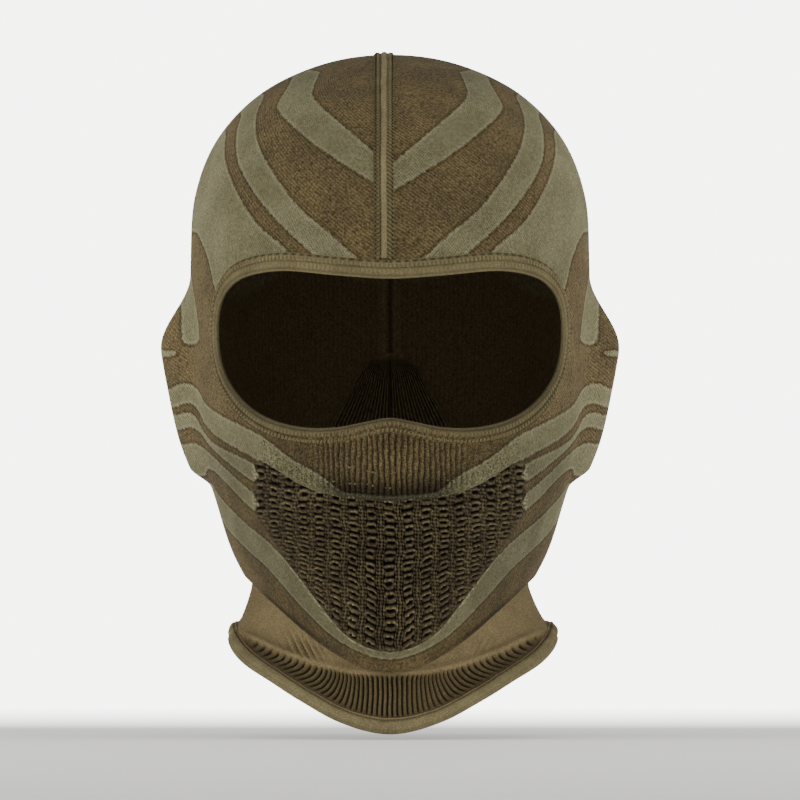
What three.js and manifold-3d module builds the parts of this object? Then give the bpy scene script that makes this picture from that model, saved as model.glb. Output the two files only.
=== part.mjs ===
// Knitted balaclava with jacquard bands, a bound eye opening, a ribbed nose, a mesh mouth panel
// and a flared collar. Millimetres, +Z up. The origin lies midway between the ears,
// the face looks along -Y, and +X is the wearer's left.

import * as THREE from 'three';
import { mergeVertices } from 'three/addons/utils/BufferGeometryUtils.js';
import Module from 'manifold-3d';

// ---- driving sizes ----------------------------------------------------------------------------

const HEAD_BREADTH = 160;      // over the knit, above the ears
const HEAD_DEPTH = 200;        // brow to back of the head
const HEAD_HEIGHT = 244.5;     // crown to the edge under the chin

const WALL = 1.6;              // double knit
const SEAM_GAP = 0.3;          // between pieces that are sewn edge to edge
const EAR_RISE = 12.3;         // how far the knit stands off the head over an ear
const NOSE_RISE = 17;
const CHIN_RISE = 6;

const BINDING_WIDTH = 7;       // elastic binding round the eye opening
const BINDING_LEG = 1.2;       // each leg of the binding, outside and inside the knit
const BINDING_TURN = 1.5;      // from the lip of the binding to the cut edge of the knit

const SEAM_WIDTH = 3.2;        // raised cord over the crown seam
const SEAM_PROUD = 1.0;
const THREAD = 0.9;            // cover stitch thread
const STITCH_SPREAD = 3.4;     // from the middle of the crown seam to each stitch row

const TUCK_CLEAR = 6.8;        // between the collar and the knit that hangs over it
const SIDE_CLEAR = 0.8;        // the same under the ears, where the collar hangs from the hood
const TUCK_DEPTH = 13;         // how far the collar reaches up inside the hood
const HEM_WIDTH = 6.4;
const HEM_THICK = 3.6;

const PULL_TILT = THREE.MathUtils.degToRad(23.5); // pull-down line of the face cover, from vertical

const AROUND = 48;             // facets round the head
const DOWN = 22;               // facets from the crown to the lower edge

// ---- shape of the head under the knit ---------------------------------------------------------

const WIDE = HEAD_BREADTH / 160;
const DEEP = HEAD_DEPTH / 200;
const TALL = HEAD_HEIGHT / 244.5;

// height, half width, front, back, squareness of the face half
const STATIONS = [
  [132.5, 0, 4, 4, 2.0],
  [129, 26, -28, 36, 2.05],
  [117.5, 51, -58, 66, 2.1],
  [99, 69, -82, 88, 2.15],
  [76, 78.2, -94.5, 97, 2.2],
  [50, 80, -99.5, 99.5, 2.25],
  [24, 79.8, -100, 98, 2.25],
  [0, 79, -98, 95, 2.2],
  [-24, 76.6, -98, 88, 2.1],
  [-46, 70, -101, 78, 2.0],
  [-66, 63.6, -100, 69, 1.9],
  [-84, 54.6, -96, 64, 1.85],
  [-100, 48.5, -91, 62, 1.85],
  [-116, 44, -84, 61, 1.85],
].map(([z, half, front, back, square]) => [z * TALL, half * WIDE, front * DEEP, back * DEEP, square]);

const MIDDLE_Y = 4 * DEEP;
const BACK_SQUARE = 2.1;
const LAST = STATIONS.length - 1;

// lower edge of the hood every 20 degrees from the chin to the nape
const LOWER_EDGE = [-112, -109, -101, -89.5, -79.5, -77, -77.5, -79, -81, -82].map((z) => z * TALL);
// lower edge of the collar every 15 degrees from the front to the back
const COLLAR_EDGE = [-131.5, -128.5, -121, -112.5, -105.5, -98.5, -93, -93.5, -97, -102, -107, -111, -112.5]
  .map((z) => z * TALL);
const COLLAR_HALF = 60 * WIDE;
const COLLAR_FRONT = -81 * DEEP;
const COLLAR_BACK = 70 * DEEP;

// front view outlines, right half, from the top of the middle line to its foot
const EYE_OPENING = [
  [0, 42.4], [20, 43.6], [42, 45.5], [56, 43.5], [63.5, 38.8], [67.6, 30.5], [68.4, 18], [66.5, 7],
  [61.5, -2.5], [54, -10], [44, -15], [32, -17.3], [20, -17], [9, -15], [0, -13.6],
];
const MOUTH_MESH = [
  [0, -30], [50, -30], [53.8, -41], [54, -50], [46.5, -62], [37, -76], [25.5, -91.5], [14, -102.5],
  [0, -106.3],
];
const CHIN = [[0, -60], [38, -60], [38, -130], [0, -130]];
const NAPE_FAN = [[0, 15], [12, 5], [22, -16], [30, -45], [34, -75], [34, -120], [0, -120]];
// lower edge of the face cover that pulls down
const COVER_EDGE = [[0, -43], [15, -42], [28, -37.5], [37, -31], [44, -26]];

const mix = THREE.MathUtils.lerp;
const rise = (value, from, to) => {
  const share = THREE.MathUtils.clamp((value - from) / (to - from), 0, 1);
  return share * share * (3 - 2 * share);
};

function throughPoints(before, start, end, after, share) {
  const squared = share * share;
  return 0.5 * (2 * start + (end - before) * share
    + (2 * before - 5 * start + 4 * end - after) * squared
    + (3 * start - before - 3 * end + after) * squared * share);
}

function station(level) {
  const index = Math.min(Math.max(Math.floor(level), 0), LAST - 1);
  const first = STATIONS[index];
  const second = STATIONS[index + 1];
  const over = STATIONS[1];
  const crown = [over[0], -over[1], 2 * MIDDLE_Y - over[2], 2 * MIDDLE_Y - over[3], over[4]];
  const before = index > 0 ? STATIONS[index - 1] : crown;
  const after = index < LAST - 1 ? STATIONS[index + 2] : second.map((value, i) => 2 * value - first[i]);
  return first.map((value, i) => throughPoints(before[i], value, second[i], after[i], level - index));
}

// value of a table given at even steps of azimuth, mirrored left to right
function roundTable(table, azimuth) {
  const steps = table.length - 1;
  const turn = Math.abs(Math.atan2(Math.sin(azimuth), Math.cos(azimuth))) / Math.PI * steps;
  const index = Math.min(Math.floor(turn), steps - 1);
  const at = (i) => table[i < 0 ? -i : i > steps ? 2 * steps - i : i];
  return throughPoints(at(index - 1), at(index), at(index + 1), at(index + 2), turn - index);
}

// outer surface of the knit: azimuth 0 is the face, level 0 the crown
function formPoint(azimuth, level) {
  const [z, half, front, back, square] = station(level);
  const across = Math.sin(azimuth);
  const along = Math.cos(azimuth);
  const power = 2 / (along >= 0 ? square : BACK_SQUARE);
  let x = half * Math.sign(across) * Math.abs(across) ** power;
  let y = MIDDLE_Y + ((along >= 0 ? front : back) - MIDDLE_Y) * Math.abs(along) ** power;
  const height = z / TALL;
  const aside = x / WIDE;
  if (along > 0) {
    const nose = rise(height, 20, -28) * (1 - 0.9 * rise(height, -31, -52));
    const chin = Math.exp(-(((height + 86) / 15) ** 2));
    y -= NOSE_RISE * nose * Math.exp(-((aside / 17) ** 2));
    y -= CHIN_RISE * chin * Math.exp(-((aside / 24) ** 2));
  }
  const depth = y / DEEP;
  const ear = rise(height, 44, 15) * mix(1, 0.5, THREE.MathUtils.clamp((13 - height) / 46, 0, 1))
    * rise(height, -41, -33);
  x += Math.sign(x) * EAR_RISE * ear * rise(depth, -24, 2) * rise(depth, 46, 22);
  return new THREE.Vector3(x, y, z);
}

function formNormal(azimuth, level) {
  const step = 0.01;
  if (level < step) return new THREE.Vector3(0, 0, 1);
  const round = formPoint(azimuth + step, level).sub(formPoint(azimuth - step, level));
  const down = formPoint(azimuth, level + step).sub(formPoint(azimuth, level - step));
  return down.cross(round).normalize();
}

const offForm = (azimuth, level, off) =>
  formPoint(azimuth, level).addScaledVector(formNormal(azimuth, level), off);

function levelAt(z) {
  let [low, high] = [0, LAST];
  for (let i = 0; i < 30; i += 1) {
    const middle = (low + high) / 2;
    if (station(middle)[0] > z) low = middle;
    else high = middle;
  }
  return (low + high) / 2;
}

const lowerLevel = (azimuth) => levelAt(roundTable(LOWER_EDGE, azimuth));

// azimuth and level of the point of the face that the front view shows at x, z
function faceSpot(x, z) {
  const level = levelAt(z);
  let [low, high] = [0, Math.PI / 2];
  for (let i = 0; i < 30; i += 1) {
    const middle = (low + high) / 2;
    if (formPoint(middle, level).x < Math.abs(x)) low = middle;
    else high = middle;
  }
  return [Math.sign(x) * (low + high) / 2, level];
}

// ---- solids -----------------------------------------------------------------------------------

const wasm = await Module();
wasm.setup();

function solid(geometry, place) {
  geometry.deleteAttribute('normal');
  geometry.deleteAttribute('uv');
  const merged = mergeVertices(geometry);
  const position = merged.attributes.position;
  const corner = new THREE.Vector3();
  for (let i = 0; i < position.count; i += 1) {
    const { x, y, z } = place(corner.fromBufferAttribute(position, i));
    position.setXYZ(i, x, y, z);
  }
  const triangles = [];
  let volume = 0;
  for (let i = 0; i < merged.index.count; i += 3) {
    const triangle = [0, 1, 2].map((k) => merged.index.getX(i + k));
    const [a, b, c] = triangle.map((k) => new THREE.Vector3().fromBufferAttribute(position, k));
    volume += a.dot(b.cross(c));
    triangles.push(triangle);
  }
  // a placing that mirrors the shape turns it inside out, so its triangles are turned back
  if (volume < 0) triangles.forEach((triangle) => triangle.reverse());
  return new wasm.Manifold(new wasm.Mesh({
    numProp: 3,
    vertProperties: new Float32Array(position.array),
    triVerts: new Uint32Array(triangles.flat()),
  }));
}

// the hood before it is cut: a shell from the crown to the lower edge, open below
function hoodShell(outside, inside) {
  const rows = 2 * DOWN + 1;
  return solid(new THREE.SphereGeometry(1, AROUND, rows), ({ x, y, z }) => {
    const row = Math.round(Math.acos(THREE.MathUtils.clamp(y, -1, 1)) / Math.PI * rows);
    const azimuth = Math.atan2(x, z);
    const share = Math.min(row, rows - row) / DOWN;
    return offForm(azimuth, share * lowerLevel(azimuth), row <= DOWN ? outside : -inside);
  });
}

function mirrored(half) {
  const other = half.filter(([x]) => x > 0).reverse().map(([x, z]) => [-x, z]);
  return [...half, ...other];
}

function smoothLoop(half, count) {
  const points = mirrored(half).map(([x, z]) => new THREE.Vector3(x * WIDE, 0, z * TALL));
  const curve = new THREE.CatmullRomCurve3(points, true, 'centripetal');
  return curve.getSpacedPoints(count).slice(0, count).map((point) => new THREE.Vector2(point.x, point.z));
}

const straightLoop = (half) => mirrored(half).map(([x, z]) => new THREE.Vector2(x * WIDE, z * TALL));

function grown(points, amount) {
  const turn = Math.sign(THREE.ShapeUtils.area(points));
  return points.map((point, i) => {
    const before = points[(i + points.length - 1) % points.length];
    const after = points[(i + 1) % points.length];
    const first = new THREE.Vector2().subVectors(point, before).normalize();
    const second = new THREE.Vector2().subVectors(after, point).normalize();
    const middle = first.clone().add(second).normalize();
    const reach = amount / Math.max(0.5, middle.dot(first));
    return new THREE.Vector2(point.x + turn * middle.y * reach, point.y - turn * middle.x * reach);
  });
}

// a front view outline pushed along Y between two depths
function prism(points, fromY, toY) {
  const geometry = new THREE.ExtrudeGeometry(new THREE.Shape(points), { depth: 1, bevelEnabled: false });
  return solid(geometry, ({ x, y, z }) => new THREE.Vector3(x, mix(fromY, toY, z), y));
}

const FAR = 400;               // past every side of the head
const FRONT = [-FAR, 0];
const BACK = [0, FAR];

// a strip along a path, its section given across the surface and off it, each from -1 to 1
function strip(segments, place, ridges = 2) {
  return solid(new THREE.BoxGeometry(1, 1, 1, ridges, 1, segments), ({ x, y, z }) => place(x * 2, y * 2, z + 0.5));
}

// ---- face cover that pulls down ---------------------------------------------------------------

const pullAxis = new THREE.Vector3(0, -Math.sin(PULL_TILT), -Math.cos(PULL_TILT));
const pullAcross = new THREE.Vector3(0, Math.cos(PULL_TILT), -Math.sin(PULL_TILT));
const COVER_TOP = -20;         // end of the parting above the lower binding, along the pull line

// everything inside this prism can leave along the pull line without touching what is outside it
function coverPrism(gap) {
  const edge = [];
  for (const [x, z] of COVER_EDGE) {
    const spot = formPoint(...faceSpot(Math.max(x, 0.01) * WIDE, z * TALL));
    edge.push([x, spot.dot(pullAcross)]);
  }
  const outer = edge[edge.length - 1];
  const half = [...edge, [outer[0], -FAR], [0, -FAR]];
  const points = mirrored(half).map(([x, y]) => new THREE.Vector2(x * WIDE, y));
  const shape = new THREE.Shape(gap > 0 ? grown(points, gap) : points);
  const geometry = new THREE.ExtrudeGeometry(shape, { depth: 1, bevelEnabled: false });
  return solid(geometry, ({ x, y, z }) => new THREE.Vector3(x, 0, 0)
    .addScaledVector(pullAcross, y)
    .addScaledVector(pullAxis, mix(-COVER_TOP - gap, FAR, z)));
}

const coverInside = coverPrism(0);
const coverOutside = coverPrism(SEAM_GAP);

// ---- hood -------------------------------------------------------------------------------------

const shell = hoodShell(0, WALL);
const EYE_POINTS = 96;
const eyeLip = smoothLoop(EYE_OPENING, EYE_POINTS);
const meshLoop = straightLoop(MOUTH_MESH);
const chinLoop = straightLoop(CHIN);
const napeLoop = straightLoop(NAPE_FAN);
const seamHalf = SEAM_WIDTH / 2 + SEAM_GAP;
const seamSlot = prism([[-seamHalf, -FAR], [seamHalf, -FAR], [seamHalf, FAR], [-seamHalf, FAR]]
  .map(([x, z]) => new THREE.Vector2(x, z)), -FAR, FAR);

const bound = shell.subtract(prism(grown(eyeLip, BINDING_TURN), ...FRONT));
const fixedKnit = bound.subtract(coverOutside);
const meshPrism = prism(meshLoop, ...FRONT);
const meshRoom = prism(grown(meshLoop, SEAM_GAP), ...FRONT);
const noseRib = bound.intersect(coverInside);
const mouthMesh = fixedKnit.intersect(meshPrism);
const chin = fixedKnit.intersect(prism(chinLoop, ...FRONT)).subtract(meshRoom);
const napeRib = fixedKnit.intersect(prism(napeLoop, ...BACK)).subtract(seamSlot);
const body = fixedKnit.subtract(meshRoom)
  .subtract(prism(grown(chinLoop, SEAM_GAP), ...FRONT))
  .subtract(prism(grown(napeLoop, SEAM_GAP), ...BACK))
  .subtract(seamSlot);

// the two large bodies of a piece, right then left, without the slivers that cuts leave
function halves(piece) {
  const middle = (part) => part.boundingBox().min[0] + part.boundingBox().max[0];
  const large = piece.decompose().sort((a, b) => b.volume() - a.volume()).slice(0, 2);
  return large.sort((a, b) => middle(a) - middle(b));
}
const [bodyRight, bodyLeft] = halves(body);
const [napeRight, napeLeft] = halves(napeRib);

// ---- eye binding ------------------------------------------------------------------------------

// frame on the lip of the eye opening: a point, the way out over the knit and the way off it
function lipFrame(turn) {
  const place = ((turn % 1) + 1) % 1 * EYE_POINTS;
  const index = Math.floor(place);
  const at = (i) => eyeLip[(i + EYE_POINTS) % EYE_POINTS];
  const flat = at(index).clone().lerp(at(index + 1), place - index);
  const run = at(index + 1).clone().sub(at(index));
  const point = formPoint(...faceSpot(flat.x, flat.y));
  const ahead = formPoint(...faceSpot(flat.x + run.x * 0.2, flat.y + run.y * 0.2));
  const off = formNormal(...faceSpot(flat.x, flat.y));
  const out = ahead.sub(point).normalize().cross(off).normalize();
  const centre = new THREE.Vector3(0, point.y, (at(0).y + at(EYE_POINTS / 2).y) / 2);
  if (out.dot(point.clone().sub(centre)) < 0) out.negate();
  return { point, out };
}

// point over the knit at a distance from the lip, lifted off the outer surface
function fromLip(turn, distance, lift) {
  const { point, out } = lipFrame(turn);
  const flat = point.addScaledVector(out, distance);
  const spot = faceSpot(flat.x, flat.z);
  return offForm(...spot, lift);
}

const LIP_STEPS = 54;
function lipRing(section) {
  const steps = section.length;
  const ring = new THREE.TorusGeometry(2, 1, steps, LIP_STEPS);
  return solid(ring, ({ x, y, z }) => {
    const turn = Math.atan2(y, x) / (2 * Math.PI);
    const around = Math.atan2(z, Math.hypot(x, y) - 2) / (2 * Math.PI);
    const [distance, lift] = section[Math.round(((around + 1) % 1) * steps) % steps];
    return fromLip(turn, distance, lift);
  });
}

const legTop = SEAM_GAP + BINDING_LEG;
const legFoot = -WALL - SEAM_GAP - BINDING_LEG;
const bindingRing = lipRing([
  [BINDING_WIDTH, legTop * 0.6], [BINDING_WIDTH * 0.6, legTop], [BINDING_WIDTH * 0.25, legTop],
  [0, mix(legTop, legFoot, 0.3)], [0, mix(legTop, legFoot, 0.7)],
  [BINDING_WIDTH * 0.25, legFoot], [BINDING_WIDTH * 0.8, legFoot], [BINDING_WIDTH, legFoot * 0.9],
]);
const bindingRoom = hoodShell(SEAM_GAP, WALL + SEAM_GAP)
  .subtract(prism(grown(eyeLip, BINDING_TURN - SEAM_GAP), ...FRONT));
const binding = bindingRing.subtract(bindingRoom);

const threadSection = (distance, lift) => [0, 1, 2, 3].map((i) => {
  const angle = i / 4 * 2 * Math.PI;
  return [distance + THREAD * 0.6 * Math.cos(angle), lift + THREAD * 0.5 * Math.sin(angle)];
});
const stitchLift = legTop + SEAM_GAP + THREAD * 0.5;
const eyeStitches = lipRing(threadSection(BINDING_WIDTH * 0.45, stitchLift));

// ---- crown seam -------------------------------------------------------------------------------

const seamFrontLevel = levelAt(EYE_OPENING[0][1] * TALL + BINDING_WIDTH + 1.2);
const seamBackLevel = lowerLevel(Math.PI);
// along the middle line, from the eye binding over the crown to the nape
function overCrown(share, aside, lift) {
  const level = mix(-seamFrontLevel, seamBackLevel, share);
  const azimuth = level < 0 ? 0 : Math.PI;
  const point = offForm(azimuth, Math.abs(level), lift);
  return point.setX(aside);
}

const SEAM_STEPS = 40;
const crownCord = strip(SEAM_STEPS, (x, y, share) =>
  overCrown(share, x * SEAM_WIDTH / 2, y < 0 ? -WALL : SEAM_PROUD * (1 - 0.5 * Math.abs(x))));

function crownStitches(side) {
  return strip(SEAM_STEPS, (x, y, share) => {
    const aside = side * STITCH_SPREAD + x * THREAD / 2;
    return overCrown(share, aside, SEAM_GAP + (y < 0 ? 0 : THREAD));
  }, 1);
}

// ---- collar -----------------------------------------------------------------------------------

const FLARE = 4;               // the collar hangs straight first and flares near the hem
const SIDE_AZIMUTH = THREE.MathUtils.degToRad(94);
const SIDE_SPAN = THREE.MathUtils.degToRad(13);

function tuckClear(azimuth) {
  const turn = Math.abs(Math.atan2(Math.sin(azimuth), Math.cos(azimuth)));
  return mix(TUCK_CLEAR, SIDE_CLEAR, Math.exp(-(((turn - SIDE_AZIMUTH) / SIDE_SPAN) ** 2)));
}

function collarSpot(azimuth, share) {
  const edge = formPoint(azimuth, lowerLevel(azimuth));
  const run = formPoint(azimuth + 0.02, lowerLevel(azimuth + 0.02))
    .sub(formPoint(azimuth - 0.02, lowerLevel(azimuth - 0.02)));
  const inward = new THREE.Vector3(-run.y, run.x, 0).normalize();
  const top = edge.addScaledVector(inward, WALL + tuckClear(azimuth));
  top.z += TUCK_DEPTH;
  const foot = new THREE.Vector3(COLLAR_HALF * Math.sin(azimuth),
    mix(COLLAR_FRONT, COLLAR_BACK, 0.5 - 0.5 * Math.cos(azimuth)), roundTable(COLLAR_EDGE, azimuth));
  const flare = share ** FLARE;
  return new THREE.Vector3(mix(top.x, foot.x, flare), mix(top.y, foot.y, flare), mix(top.z, foot.z, share));
}

// point of the collar, the way down it and the way off its outer face
function collarFrame(azimuth, share) {
  const step = 0.01;
  const point = collarSpot(azimuth, share);
  const down = collarSpot(azimuth, share).sub(collarSpot(azimuth, share - step)).normalize();
  const round = collarSpot(azimuth + step, share).sub(collarSpot(azimuth - step, share));
  const off = down.clone().cross(round).normalize();
  return { point, down, off };
}

function collarPanel(fromDegrees, toDegrees, around, drop) {
  const [from, to] = [fromDegrees, toDegrees].map(THREE.MathUtils.degToRad);
  return solid(new THREE.BoxGeometry(1, 1, 1, around, drop, 1), ({ x, y, z }) => {
    const { point, off } = collarFrame(mix(from, to, x + 0.5), 0.5 - y);
    return point.addScaledVector(off, z > 0 ? 0 : -WALL);
  });
}

const RIB_SPAN = 62;           // half span of the ribbed front of the collar, in degrees
const PANEL_GAP = 0.35;        // degrees between collar panels
const BACK_SEAM_SPAN = 1.6;    // half span of the collar's back seam, in degrees
const HEM_STEPS = 54;
const HEM_FACETS = 6;

// ring under the collar's lower edge, its section given down the collar and off its face
function hemRing(middle, [half, thick]) {
  const ring = new THREE.TorusGeometry(2, 1, HEM_FACETS, HEM_STEPS);
  return solid(ring, ({ x, y, z }) => {
    const { point, down, off } = collarFrame(Math.atan2(y, x), 1);
    return point.addScaledVector(down, middle[0] + half * z)
      .addScaledVector(off, middle[1] + thick * (Math.hypot(x, y) - 2));
  });
}

const hemMiddle = SEAM_GAP + HEM_WIDTH / 2;
const hem = hemRing([hemMiddle, -WALL / 2], [HEM_WIDTH / 2, HEM_THICK / 2]);
const hemStitches = hemRing([hemMiddle, (HEM_THICK - WALL) / 2 + SEAM_GAP + THREAD / 2], [THREAD / 2, THREAD / 2]);

// ---- the group --------------------------------------------------------------------------------

const knit = (color, roughness = 0.9) => new THREE.MeshStandardMaterial({ color, roughness, metalness: 0 });
const group = new THREE.Group();

function add(name, piece, material) {
  const mesh = piece.getMesh();
  const geometry = new THREE.BufferGeometry();
  geometry.setAttribute('position', new THREE.BufferAttribute(mesh.vertProperties, 3));
  geometry.setIndex(new THREE.BufferAttribute(mesh.triVerts, 1));
  geometry.computeVertexNormals();
  const part = new THREE.Mesh(geometry, material);
  part.name = name;
  group.add(part);
}

add('hood_right', bodyRight, knit(0x6e5f3f));
add('hood_left', bodyLeft, knit(0x6e5f3f));
add('chin_panel', chin, knit(0x534e38));
add('nose_rib_panel', noseRib, knit(0x4a412f));
add('mouth_mesh_panel', mouthMesh, knit(0x312b1d));
add('nape_rib_right', napeRight, knit(0x403624));
add('nape_rib_left', napeLeft, knit(0x403624));
add('eye_binding_upper', binding.subtract(coverOutside), knit(0x605639, 0.8));
add('eye_binding_lower', binding.intersect(coverInside), knit(0x544b31, 0.8));
add('eye_stitches_upper', eyeStitches.subtract(coverOutside), knit(0x766848, 0.7));
add('eye_stitches_lower', eyeStitches.intersect(coverInside), knit(0x766848, 0.7));
add('crown_seam_cord', crownCord, knit(0x766848, 0.8));
add('crown_stitches_right', crownStitches(-1), knit(0x766848, 0.7));
add('crown_stitches_left', crownStitches(1), knit(0x766848, 0.7));
add('collar_front_rib', collarPanel(-RIB_SPAN, RIB_SPAN, 18, 7), knit(0x403624));
add('collar_left', collarPanel(RIB_SPAN + PANEL_GAP, 180 - BACK_SEAM_SPAN - PANEL_GAP, 14, 7), knit(0x68593b));
add('collar_right', collarPanel(BACK_SEAM_SPAN + PANEL_GAP - 180, -RIB_SPAN - PANEL_GAP, 14, 7), knit(0x68593b));
add('collar_back_seam', collarPanel(180 - BACK_SEAM_SPAN, 180 + BACK_SEAM_SPAN, 2, 7), knit(0x766848));
add('hem_binding', hem, knit(0x675a43, 0.8));
add('hem_stitches', hemStitches, knit(0x766848, 0.7));

export default group;
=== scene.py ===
"""Camouflage knit balaclava: hood, mouth mesh, ribbed nose panel, bound eye opening and ribbed collar."""

import math

import bpy
import numpy as np
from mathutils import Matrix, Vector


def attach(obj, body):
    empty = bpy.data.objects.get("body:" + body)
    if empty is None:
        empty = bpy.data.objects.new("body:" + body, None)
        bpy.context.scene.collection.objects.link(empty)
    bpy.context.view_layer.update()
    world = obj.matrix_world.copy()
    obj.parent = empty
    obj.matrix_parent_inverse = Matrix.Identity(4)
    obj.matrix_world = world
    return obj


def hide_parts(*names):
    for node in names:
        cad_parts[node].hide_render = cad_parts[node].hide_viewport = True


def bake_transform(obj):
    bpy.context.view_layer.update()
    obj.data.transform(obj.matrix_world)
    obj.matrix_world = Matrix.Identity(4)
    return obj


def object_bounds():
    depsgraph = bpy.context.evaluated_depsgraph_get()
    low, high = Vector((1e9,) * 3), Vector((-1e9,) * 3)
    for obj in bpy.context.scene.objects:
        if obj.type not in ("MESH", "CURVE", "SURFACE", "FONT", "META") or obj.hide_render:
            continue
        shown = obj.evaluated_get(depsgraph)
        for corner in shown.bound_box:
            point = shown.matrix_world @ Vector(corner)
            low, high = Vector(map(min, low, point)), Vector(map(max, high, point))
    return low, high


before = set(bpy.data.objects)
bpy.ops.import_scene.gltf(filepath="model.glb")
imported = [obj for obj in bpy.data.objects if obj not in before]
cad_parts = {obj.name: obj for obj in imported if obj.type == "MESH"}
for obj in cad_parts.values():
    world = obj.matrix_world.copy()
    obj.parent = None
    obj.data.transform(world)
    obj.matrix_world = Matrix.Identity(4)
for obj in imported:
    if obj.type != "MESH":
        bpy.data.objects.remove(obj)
CAD_BOX = [list(corner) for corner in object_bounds()]

bl_info = {
    "name": "Knit balaclava",
    "version": (1, 0, 0),
    "blender": (4, 5, 0),
    "location": "3D View > Sidebar > Balaclava",
    "description": "Builds a camouflage knit face mask over its fixed frame",
    "category": "Add Mesh",
}

MM = 0.001


# ---------------------------------------------------------------- head form, in millimetres
# height, half width, front, back, squareness of the front half
STATIONS = np.array([
    [132.5, 0, 4, 4, 2.0], [129, 26, -28, 36, 2.05], [117.5, 51, -58, 66, 2.1], [99, 69, -82, 88, 2.15],
    [76, 78.2, -94.5, 97, 2.2], [50, 80, -99.5, 99.5, 2.25], [24, 79.8, -100, 98, 2.25], [0, 79, -98, 95, 2.2],
    [-24, 76.6, -98, 88, 2.1], [-46, 70, -101, 78, 2.0], [-66, 63.6, -100, 69, 1.9], [-84, 54.6, -96, 64, 1.85],
    [-100, 48.5, -91, 62, 1.85], [-116, 44, -84, 61, 1.85]])
LAST = len(STATIONS) - 1
MIDDLE_Y = 4
BACK_SQUARE = 2.1
NOSE_REACH, CHIN_REACH, EAR_REACH = 17, 6, 12.3
LOWER_EDGE = [-114.5, -111.5, -102.5, -90, -79.5, -77, -77.5, -79, -81, -82]          # every 20 degrees
COLLAR_EDGE = [-132.5, -129.5, -122, -114, -107.5, -101, -95.5, -95, -98, -102, -107, -111, -112.5]
EYE_EDGE = [(0, 42.4), (20, 43.6), (42, 45.5), (56, 43.5), (63.5, 38.8), (67.6, 30.5), (68.4, 18), (66.5, 7),
            (61.5, -2.5), (54, -10), (44, -15), (32, -17.3), (20, -17), (9, -15), (0, -13.6)]
MESH_EDGE = [(0, -30), (50, -30), (53.8, -41), (54, -50), (46.5, -62), (37, -76), (25.5, -91.5), (14, -102.5),
             (0, -106.3)]
NOSE_EDGE = [(0, -46.2), (15, -45.4), (28, -42.8), (36, -39.5), (44, -34.5), (52, -29.5), (60, -24.0)]


def blend_in(value, start, end):
    """Smooth step from 0 at start to 1 at end."""
    share = np.clip((value - start) / (end - start), 0, 1)
    return share * share * (3 - 2 * share)


def mix(a, b, share):
    """Value between a and b."""
    return a + (b - a) * share


def through(rows, at, ghosts=None):
    """Smooth curve through evenly spaced rows, read at row numbers."""
    rows = np.asarray(rows, float)
    first, last = ghosts if ghosts else (2 * rows[0] - rows[1], 2 * rows[-1] - rows[-2])
    padded = np.concatenate([np.asarray(first, float)[None], rows, np.asarray(last, float)[None]])
    at = np.clip(np.asarray(at, float), 0, len(rows) - 1)
    index = np.minimum(at.astype(int), len(rows) - 2)
    t = at - index
    if rows.ndim > 1:
        t = t[..., None]
    a, b, c, d = (padded[index + i] for i in range(4))
    return 0.5 * (2 * b + (c - a) * t + (2 * a - 5 * b + 4 * c - d) * t ** 2 + (3 * b - a - 3 * c + d) * t ** 3)


TOP_GHOST = [129, -26, 36, -28, 2.05]


def turn_from_front(azimuth):
    """Turn from the front middle, from 0 to pi on both sides."""
    return np.abs(np.arctan2(np.sin(azimuth), np.cos(azimuth)))


def stations_at(level):
    """Row of the head form at a level, which counts stations down from the crown."""
    return through(STATIONS, level, (TOP_GHOST, 2 * STATIONS[-1] - STATIONS[-2]))


def around_table(table, azimuth):
    """Value of a table that runs from the front to the back, the same on both sides."""
    turn = turn_from_front(azimuth) / math.pi * (len(table) - 1)
    return through(table, turn, (table[1], table[-2]))


def form_point(azimuth, level):
    """Points of the head form; azimuth 0 is the front middle."""
    azimuth, level = np.broadcast_arrays(np.asarray(azimuth, float), np.asarray(level, float))
    height, half, front, back, square = np.moveaxis(stations_at(level), -1, 0)
    s, c = np.sin(azimuth), np.cos(azimuth)
    ahead = c >= 0
    power = np.where(ahead, square, BACK_SQUARE)
    x = half * np.sign(s) * np.abs(s) ** (2 / power)
    y = MIDDLE_Y + (np.where(ahead, front, back) - MIDDLE_Y) * np.abs(c) ** (2 / power)
    nose = blend_in(height, 20, -28) * (1 - 0.9 * blend_in(height, -31, -52)) * np.exp(-(x / 17) ** 2)
    chin = np.exp(-((height + 86) / 15) ** 2) * np.exp(-(x / 24) ** 2)
    y = y - np.where(ahead, NOSE_REACH * nose + CHIN_REACH * chin, 0)
    ear = blend_in(height, 44, 15) * mix(1, 0.5, np.clip((13 - height) / 46, 0, 1)) * blend_in(height, -41, -33)
    x = x + np.sign(x) * EAR_REACH * ear * blend_in(y, -24, 2) * blend_in(y, 46, 22)
    return np.stack([x, y, height], -1)


def form_normal(azimuth, level):
    """Unit way off the head form."""
    step = 0.01
    level = np.maximum(level, 2 * step)
    round_way = form_point(azimuth + step, level) - form_point(azimuth - step, level)
    down_way = form_point(azimuth, level + step) - form_point(azimuth, level - step)
    normal = np.cross(down_way, round_way)
    return normal / np.maximum(np.linalg.norm(normal, axis=-1, keepdims=True), 1e-9)


LEVELS = np.linspace(0, LAST, 1400)
HEIGHTS = stations_at(LEVELS)[:, 0]


def level_at(height):
    """Level of a height."""
    return np.interp(-np.asarray(height, float), -HEIGHTS, LEVELS)


def lower_level(azimuth):
    """Level of the lower edge of the hood."""
    return level_at(around_table(LOWER_EDGE, azimuth))


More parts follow.
